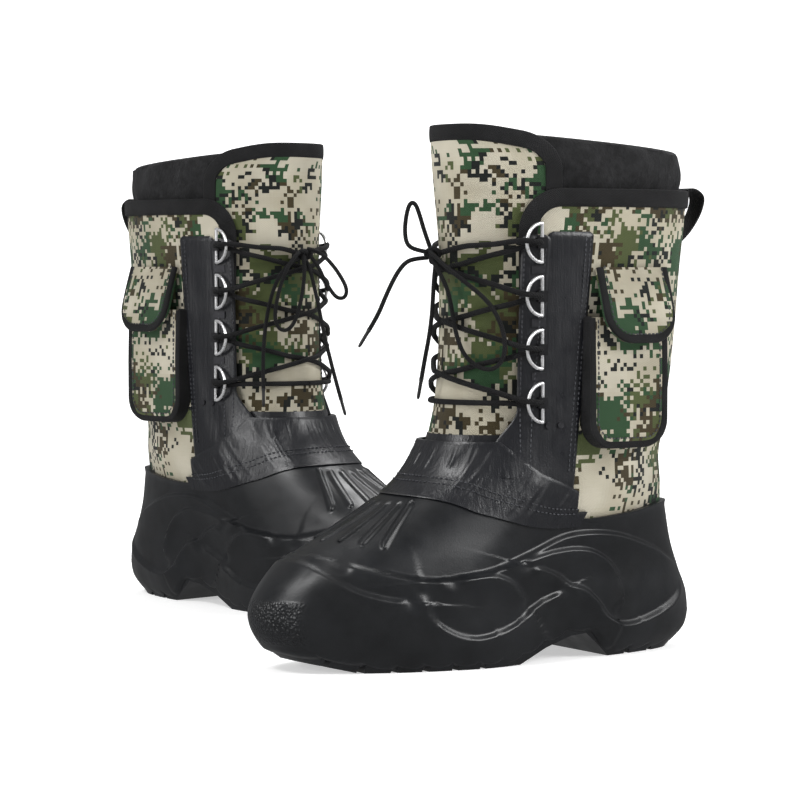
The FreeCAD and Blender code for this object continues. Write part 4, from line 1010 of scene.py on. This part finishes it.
def make_flap(side):
    """The flap: a crowned panel leaning out from its rolled top edge, with a tape round its U. It
    moves with the flap's own body."""
    axes = side_axes(*FLAP_AT)
    body = f"{side}_flap"
    mesh = Mesh(side)
    mesh.slab(*pillow(axes, FLAP_HALF - 0.4, FLAP_LOW + 0.4, FLAP_TOP, flap_crown, FLAP_CORNER, FLAP_TILT, 9, 2.4))
    cloth = settle(mesh.build(f"{side}_flap_cloth", MATERIALS["flap"]), body, f"{side}_pocket_flap")

    def tilted(inset, lift):
        """The U moved in by inset, lifted off the leaning flap."""
        line = u_path(FLAP_HALF, FLAP_LOW, FLAP_TOP, FLAP_CORNER, inset)
        lift = lift + 0.8 * np.sin(math.pi * (line[:, 1] - FLAP_LOW) / (FLAP_TOP - FLAP_LOW))
        return local(axes, np.stack([line[:, 0], *lean_out(lift, line[:, 1], math.radians(FLAP_TILT))], axis=1))

    outward = axes[2] * math.cos(math.radians(FLAP_TILT)) + np.array([0, 0, math.sin(math.radians(FLAP_TILT))])
    mesh = Mesh(side)
    path = tilted(2.8, 0.0)
    flat_sweep(mesh, path, np.tile(outward, (len(path), 1)), tape_profile(2.9, 2.8))
    trim = settle(mesh.build(f"{side}_flap_tape", MATERIALS["binding"]), body, f"{side}_pocket_flap")
    threads = Mesh(side)
    path = tilted(5.4, 1.6)
    stitch_row(threads, path, np.tile(outward, (len(path), 1)))
    sewn = settle(threads.build(f"{side}_flap_stitches", MATERIALS["thread"]), body)
    return [cloth, trim, sewn]


# ---------------------------------------------------------------- laces
ROUTES = {
    "left": {
        "bow_loop_a": [(165.6, -6.8, 258.0), (168.8, -8.5, 268.0), (171.5, -10.0, 279.0), (173.9, -11.4, 286.2),
                       (176.8, -13.0, 286.0), (178.7, -14.0, 279.0), (179.7, -14.5, 268.5), (178.7, -13.6, 260.0),
                       (174.0, -10.6, 256.6), (167.3, -7.2, 255.4)],
        "bow_loop_b": [(166.9, -2.6, 251.2), (167.5, 4.5, 245.5), (164.5, 13.0, 232.5), (163.0, 16.0, 217.5),
                       (161.5, 18.5, 202.5), (158.5, 23.5, 190.5), (153.0, 31.5, 183.5), (146.5, 38.5, 182.5),
                       (142.3, 43.0, 189.0), (141.5, 44.0, 200.5), (144.0, 41.0, 213.5), (149.0, 35.0, 225.5),
                       (160.5, 26.5, 237.0), (169.0, 15.0, 247.5), (168.6, -1.7, 255.4)],
        "lace_end_a": [(166.9, -7.4, 251.9), (173.7, -9.2, 251.4), (179.9, -11.6, 249.6), (184.7, -13.6, 243.6),
                       (188.9, -15.6, 235.0), (192.7, -17.4, 225.5), (196.3, -19.4, 215.5), (200.9, -22.0, 206.8)],
        "lace_end_b": [(163.1, -4.2, 248.7), (165.8, -1.8, 239.5), (167.0, -0.8, 228.5), (167.9, -0.9, 215.0),
                       (169.5, -2.0, 201.0), (171.8, -3.3, 187.5), (173.4, -4.4, 176.0)]},
    "right": {
        "bow_loop_a": [(166.3, 4.4, 258.9), (173.7, 0.8, 257.5), (180.2, -4.9, 249.5), (185.5, -10.0, 239.5),
                       (188.9, -13.4, 230.0), (187.9, -12.4, 223.6), (183.7, -8.4, 223.2), (179.9, -5.0, 229.5),
                       (176.5, -2.0, 237.5), (173.3, 0.4, 246.5), (167.6, 3.3, 254.3)],
        "bow_loop_b": [(164.9, 10.8, 256.4), (167.1, 17.5, 254.0), (166.5, 24.0, 246.0), (163.5, 28.0, 234.0),
                       (161.1, 30.4, 220.5), (159.9, 31.0, 208.5), (161.7, 28.2, 201.0), (165.7, 23.2, 200.2),
                       (168.7, 18.7, 207.2), (170.1, 15.4, 218.5), (170.9, 13.0, 231.0), (170.5, 11.2, 243.0),
                       (167.3, 8.8, 253.2)],
        "lace_end_a": [(166.4, 5.9, 250.9), (171.1, 6.0, 243.2), (174.3, 5.6, 232.5), (176.7, 4.2, 220.5),
                       (178.5, 2.4, 207.5), (180.5, 0.3, 193.5), (183.0, -2.1, 179.5), (185.5, -4.7, 165.5),
                       (188.3, -7.4, 151.5)],
        "lace_end_b": [(163.7, 11.3, 252.2), (162.0, 18.0, 248.5), (159.0, 24.5, 240.5), (156.0, 28.5, 229.5),
                       (153.7, 31.2, 216.0), (152.3, 33.0, 202.0), (151.9, 34.4, 187.5), (152.7, 35.6, 172.5),
                       (154.5, 37.0, 158.5)]}}
KNOTS = {"left": (162.5, -5.0, 254.0), "right": (162.5, 6.0, 254.0)}
TIP_LENGTH = 13.0
TIP_SECTIONS = ([0, 0.05, 0.12, 0.9, 1.0], [1.45, 1.55, 1.2, 1.1, 0.5])      # share of its length, radius


def make_cords(side):
    """The free bows and ends, each one smooth spline out of the knot."""
    pieces = []
    for name, route in ROUTES[side].items():
        line = spline_line(route)
        mesh = Mesh(side)
        length = round_tube(mesh, line, LACE / 2)
        piece = settle(mesh.build(f"{side}_{name}_cord", MATERIALS["lace"]), BODY, f"{side}_{name}")
        loose = name.startswith("lace_end")
        extra = []
        if loose:
            ahead = line[-1] - line[-3]
            ahead /= np.linalg.norm(ahead)
            share = np.linspace(0, 1, 14)
            tip_line = line[-1] - 0.3 * ahead + share[:, None] * TIP_LENGTH * ahead
            tip = Mesh(side)
            round_tube(tip, tip_line, np.interp(share, *TIP_SECTIONS))
            sheath = tip.build(f"{side}_{name}_tip", MATERIALS["tip"])
            extra = [settle(sheath, BODY, f"{side}_aglets")]
        pieces += [piece] + extra
    return pieces


def lace_half(side, face):
    """Control points of one half of the lacing, from the bottom centre to the knot: across the
    tongue, through a ring and out of its back, then over to the other side's next ring."""
    resting = LACE / 2 - TONGUE_SINK + 0.5
    edge = LACE / 2 + 2.6
    points = [form_point(0.0, RING_HEIGHTS[3], resting)]
    for number in (3, 2, 1, 0):
        ring = RING_HEIGHTS[number]
        ends = float(turn_at(RING_X, ring))
        for share, out in ((0.30, resting + 0.3), (0.49, resting + 0.9), (0.66, edge - 0.6), (0.80, edge - 0.2)):
            below = ring if number == 3 else ring - 16.5 * (1 - share) - 1.5
            points.append(form_point(face * share * ends, below, out))
        for x, out, lift in ((126.5, 4.4, -1.2), (121.0, 6.0, -0.4), (121.5, 10.0, 0.2), (127.5, 11.6, 0.9),
                             (133.0, 8.4, 1.6)):
            points.append(form_point(face * turn_at(x, ring, out), ring + lift, out))
        if number == 0:
            break
        for share, out in ((0.66, edge), (0.49, resting + 1.6), (0.30, resting + 1.4),
                           (0.12, resting + 1.8 + face)):
            points.append(form_point(face * share * ends, ring + 16.5 * (1 - share) + 1.5, out))
        face = -face
        points.append(form_point(face * 0.12 * ends, ring + 18.5, resting + 1.4 - face))
    for share, out in ((0.66, edge), (0.49, resting + 1.6), (0.30, resting + 2.0)):
        points.append(form_point(face * share * ends, ring - 3.0 * (1 - share), out))
    points.append(KNOTS[side])
    return points


def make_lacing(side):
    """Criss-cross lacing through the rings, and its knot: round tubes along two splines and along a
    closed trefoil."""
    mesh = Mesh(side)
    radius = sizes().laid_lace / MM / 2
    for face in (1, -1):
        round_tube(mesh, spline_line(lace_half(side, face)), radius)
    t = np.linspace(0, 2 * math.pi, 160)
    centre = np.array(KNOTS[side])
    wraps = centre + np.stack([2.2 - 2.3 * np.sin(3 * t), 1.75 * (np.sin(t) + 2 * np.sin(2 * t)),
                               1.6 * (np.cos(t) - 2 * np.cos(2 * t))], axis=1)
    round_tube(mesh, wraps, radius)
    return [settle(mesh.build(f"{side}_lacing", MATERIALS["lace"]), BODY, f"{side}_lace")]


def make_hardware(side):
    """Materials for the solids whose shape is kept."""
    finishes = {"outsole": "rubber", "footbed": "felt", "ring_clips": "clip", "rivets": "plate"}
    finishes.update({f"{face}_ring_{number}": "steel" for face in ("outer", "inner") for number in range(1, 5)})
    pieces = []
    for name, finish in finishes.items():
        node = frame["nodes"][f"{side}_{name}"]
        node.data.materials.clear()
        node.data.materials.append(MATERIALS[finish])
        pieces.append(node)
    return pieces


# ---------------------------------------------------------------- stage
CAMERA_PLACE = (0.007136, -2.147364, 0.24782)
CAMERA_TILT = 87.53         # degrees up from straight down
CAMERA_LENS, CAMERA_SENSOR = 141.75, 36.0
# name, place, what it points at, width in metres, power in watts
LIGHTS = (("key", (-1.3, -1.3, 2.3), (0, 0, 0.15), 0.9, 34.0),
          ("fill", (1.7, -0.75, 1.15), (0.2, -0.1, 0.08), 1.1, 30.0),
          ("low", (-1.9, -1.4, 0.9), (-0.1, 0, 0.1), 0.7, 16.0),
          ("top", (0.3, 1.1, 2.2), (0, 0, 0.1), 1.0, 26.0))
BACKDROP_SPAN, BACKDROP_WALL = 14.0, 9.0
DAYLIGHT = 0.24


def make_camera():
    """The camera, level across and tilted a little down."""
    data = bpy.data.cameras.new("camera")
    data.lens = CAMERA_LENS
    data.sensor_width = CAMERA_SENSOR
    data.clip_end = 50.0
    camera = bpy.data.objects.new("camera", data)
    camera.location = CAMERA_PLACE
    camera.rotation_euler = (math.radians(CAMERA_TILT), 0.0, 0.0)
    bpy.context.collection.objects.link(camera)
    bpy.context.scene.camera = camera
    return camera


def area_light(name, place, target, width, power):
    """A soft rectangular light at a place, turned to its target."""
    data = bpy.data.lights.new(name, "AREA")
    data.shape = "RECTANGLE"
    data.size, data.size_y, data.energy = width, width * 0.8, power
    light = bpy.data.objects.new(name, data)
    light.location = place
    direction = np.array(target, float) - np.array(place, float)
    flat = math.hypot(direction[0], direction[1])
    heading = math.atan2(direction[1], direction[0]) - math.pi / 2
    light.rotation_euler = (math.atan2(flat, -direction[2]), 0.0, heading)
    bpy.context.collection.objects.link(light)


def make_stage():
    """A pale floor that bends up to a far wall, daylight all round and the lights. The floor glows
    more away from the boots, so that shadows show only near them."""
    bend = np.linspace(0, math.pi / 2, 24)
    curve = np.stack([BACKDROP_WALL + np.sin(bend), 1.0 - np.cos(bend)], axis=1)
    profile = np.vstack([[(-BACKDROP_SPAN, 0.0)], curve, [(BACKDROP_WALL + 1.0, BACKDROP_SPAN)]])
    across = np.linspace(-BACKDROP_SPAN, BACKDROP_SPAN, 3)
    grid = np.stack(np.broadcast_arrays(across[None], profile[:, :1], profile[:, 1:]), axis=-1)
    corners = [r * 3 + c for r in range(len(profile) - 1) for c in (0, 1)]
    faces = [(corner, corner + 1, corner + 4, corner + 3) for corner in corners]
    mesh = bpy.data.meshes.new("backdrop")
    mesh.from_pydata(grid.reshape(-1, 3).tolist(), [], faces)
    mesh.polygons.foreach_set("use_smooth", [True] * len(faces))
    s = Shader("backdrop_paper", (0.8, 0.8, 0.8), 0.95)
    s.surface.inputs["Emission Color"].default_value = (1.0, 1.0, 1.0, 1.0)
    away = s.node("ShaderNodeVectorMath", {0: s.place()}, operation="LENGTH").outputs["Value"]
    s.link("Emission Strength", s.span(away, 0.5, 2.4, 0.5, 0.95))
    s.bump(s.noise(s.place(), 300.0, 2.0), 0.0001, 0.1)
    mesh.materials.append(s.material)
    backdrop = bpy.data.objects.new("backdrop", mesh)
    bpy.context.collection.objects.link(backdrop)
    backdrop.visible_glossy = False
    scene = bpy.context.scene
    scene.view_settings.view_transform = "Standard"
    daylight = bpy.data.worlds.new("studio")
    daylight.use_nodes = True
    background = daylight.node_tree.nodes["Background"]
    background.inputs[0].default_value = (1.0, 1.0, 1.0, 1.0)
    background.inputs[1].default_value = DAYLIGHT
    scene.world = daylight
    for light in LIGHTS:
        area_light(*light)
    return backdrop


# ---------------------------------------------------------------- add-on
def tint(name, description, default):
    """A colour setting."""
    return bpy.props.FloatVectorProperty(name=name, description=description, default=default, subtype="COLOR",
                                         size=3, min=0.0, max=1.0)


class BOOTS_sizes(bpy.types.PropertyGroup):
    """What the pair is built with."""
    both: bpy.props.BoolProperty(name="Both boots", description="Build the right boot as well as the left",
                                 default=True)
    square: bpy.props.FloatProperty(name="Printed square", description="Side of one square of the camouflage",
                                    default=0.0026, min=0.0005, unit="LENGTH", precision=4)
    laid_lace: bpy.props.FloatProperty(name="Laid lace", description="Thickness of the lace through the rings",
                                       default=0.0035, min=0.001, unit="LENGTH", precision=4)
    pocket_depth: bpy.props.FloatProperty(name="Pocket depth", description="How far the pocket stands out",
                                          default=0.0066, min=0.002, unit="LENGTH", precision=4)
    relief: bpy.props.FloatProperty(name="Relief", description="How strong the foot's moulded relief is",
                                    default=1.0, min=0.0, max=1.5, subtype="FACTOR")


class BOOTS_colours(bpy.types.PropertyGroup):
    """The cloth's five colours, its ground, and the black materials."""
    sand: tint("Sand", "Darker ground of the camouflage", (0.36, 0.33, 0.25))
    cream: tint("Cream", "Lighter ground of the camouflage", (0.43, 0.40, 0.32))
    green: tint("Green", "Green patches", (0.022, 0.058, 0.024))
    olive: tint("Olive", "Olive patches", (0.060, 0.075, 0.026))
    brown: tint("Brown", "Brown patches", (0.042, 0.032, 0.014))
    dark: tint("Dark", "Dark specks", (0.008, 0.010, 0.009))
    rubber: tint("Rubber", "Moulded foot, where it is lightest", (0.010, 0.011, 0.013))
    leather: tint("Leather", "Vamp and strips", (0.006, 0.0065, 0.009))
    tape: tint("Tape", "Bindings, back seam and pull loop", (0.006, 0.006, 0.0065))
    lace: tint("Lace", "Laces", (0.005, 0.005, 0.0055))


def build_pair(label, *makers):
    """Run the makers for each boot, and stop if one makes nothing."""
    for side in SIDES if sizes().both else SIDES[:1]:
        for maker in makers:
            if not maker(side):
                raise RuntimeError(f"{label} made nothing for the {side} boot")
    return {"FINISHED"}


class BOOTS_OT_stage(bpy.types.Operator):
    """Camera, lights, backdrop and materials"""
    bl_idname = "boots.stage"
    bl_label = "Stage"

    def execute(self, context):
        make_camera()
        make_materials()
        if not make_stage():
            raise RuntimeError("The stage wasn't made")
        return {"FINISHED"}


class BOOTS_OT_cords(bpy.types.Operator):
    """Bows and loose ends of both laces"""
    bl_idname = "boots.cords"
    bl_label = "Free laces"

    def execute(self, context):
        return build_pair(self.bl_label, make_cords)


class BOOTS_OT_lacing(bpy.types.Operator):
    """Lace through the rings, and its knot"""
    bl_idname = "boots.lacing"
    bl_label = "Lacing"

    def execute(self, context):
        return build_pair(self.bl_label, make_lacing)


class BOOTS_OT_foot(bpy.types.Operator):
    """Moulded foot with its relief"""
    bl_idname = "boots.foot"
    bl_label = "Moulded foot"

    def execute(self, context):
        return build_pair(self.bl_label, make_foot)


class BOOTS_OT_quarters(bpy.types.Operator):
    """Camouflage panels of the shaft"""
    bl_idname = "boots.quarters"
    bl_label = "Shaft panels"

    def execute(self, context):
        return build_pair(self.bl_label, make_quarters)


class BOOTS_OT_collar(bpy.types.Operator):
    """Bound top edge"""
    bl_idname = "boots.collar"
    bl_label = "Collar binding"

    def execute(self, context):
        return build_pair(self.bl_label, make_collar_binding)


class BOOTS_OT_tongue(bpy.types.Operator):
    """Tongue and its binding"""
    bl_idname = "boots.tongue"
    bl_label = "Tongue"

    def execute(self, context):
        return build_pair(self.bl_label, make_tongue, make_tongue_binding)


class BOOTS_OT_vamp(bpy.types.Operator):
    """Creased band above the moulding"""
    bl_idname = "boots.vamp"
    bl_label = "Vamp"

    def execute(self, context):
        return build_pair(self.bl_label, make_vamp)


class BOOTS_OT_eyestays(bpy.types.Operator):
    """Strips that carry the rings"""
    bl_idname = "boots.eyestays"
    bl_label = "Eyestays"

    def execute(self, context):
        return build_pair(self.bl_label, make_eyestays)


class BOOTS_OT_liner(bpy.types.Operator):
    """Fleece liner and its cuff"""
    bl_idname = "boots.liner"
    bl_label = "Liner"

    def execute(self, context):
        return build_pair(self.bl_label, make_liner)


class BOOTS_OT_loop(bpy.types.Operator):
    """Webbing loop and back seam"""
    bl_idname = "boots.loop"
    bl_label = "Pull loop"

    def execute(self, context):
        return build_pair(self.bl_label, make_pull_loop)


class BOOTS_OT_pocket(bpy.types.Operator):
    """Cargo pocket and its flap"""
    bl_idname = "boots.pocket"
    bl_label = "Pocket"

    def execute(self, context):
        return build_pair(self.bl_label, make_pocket, make_flap)


class BOOTS_OT_hardware(bpy.types.Operator):
    """Materials of the kept solids"""
    bl_idname = "boots.hardware"
    bl_label = "Hardware"

    def execute(self, context):
        return build_pair(self.bl_label, make_hardware)


OPERATORS = (BOOTS_OT_stage, BOOTS_OT_cords, BOOTS_OT_lacing, BOOTS_OT_foot, BOOTS_OT_quarters, BOOTS_OT_collar,
             BOOTS_OT_tongue, BOOTS_OT_vamp, BOOTS_OT_eyestays, BOOTS_OT_liner, BOOTS_OT_loop, BOOTS_OT_pocket,
             BOOTS_OT_hardware)


class BOOTS_PT_panel(bpy.types.Panel):
    """Settings, and a button for each kind of piece"""
    bl_idname = "BOOTS_PT_panel"
    bl_label = "Boots"
    bl_space_type = "VIEW_3D"
    bl_region_type = "UI"
    bl_category = "Boots"

    def draw(self, context):
        for group in (context.scene.boots_sizes, context.scene.boots_colours):
            for name in type(group).__annotations__:
                self.layout.prop(group, name)
        for operator in OPERATORS:
            self.layout.operator(operator.bl_idname)


CLASSES = (BOOTS_sizes, BOOTS_colours) + OPERATORS + (BOOTS_PT_panel,)


def register():
    for item in CLASSES:
        bpy.utils.register_class(item)
    bpy.types.Scene.boots_sizes = bpy.props.PointerProperty(type=BOOTS_sizes)
    bpy.types.Scene.boots_colours = bpy.props.PointerProperty(type=BOOTS_colours)


def unregister():
    del bpy.types.Scene.boots_sizes
    del bpy.types.Scene.boots_colours
    for item in reversed(CLASSES):
        bpy.utils.unregister_class(item)


def main():
    """Build everything in order."""
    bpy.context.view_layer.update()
    register()
    bpy.ops.boots.stage()
    bpy.ops.boots.cords()
    bpy.ops.boots.lacing()
    bpy.ops.boots.foot()
    bpy.ops.boots.quarters()
    bpy.ops.boots.collar()
    bpy.ops.boots.tongue()
    bpy.ops.boots.vamp()
    bpy.ops.boots.eyestays()
    bpy.ops.boots.liner()
    bpy.ops.boots.loop()
    bpy.ops.boots.pocket()
    bpy.ops.boots.hardware()


if __name__ == "__main__":
    main()
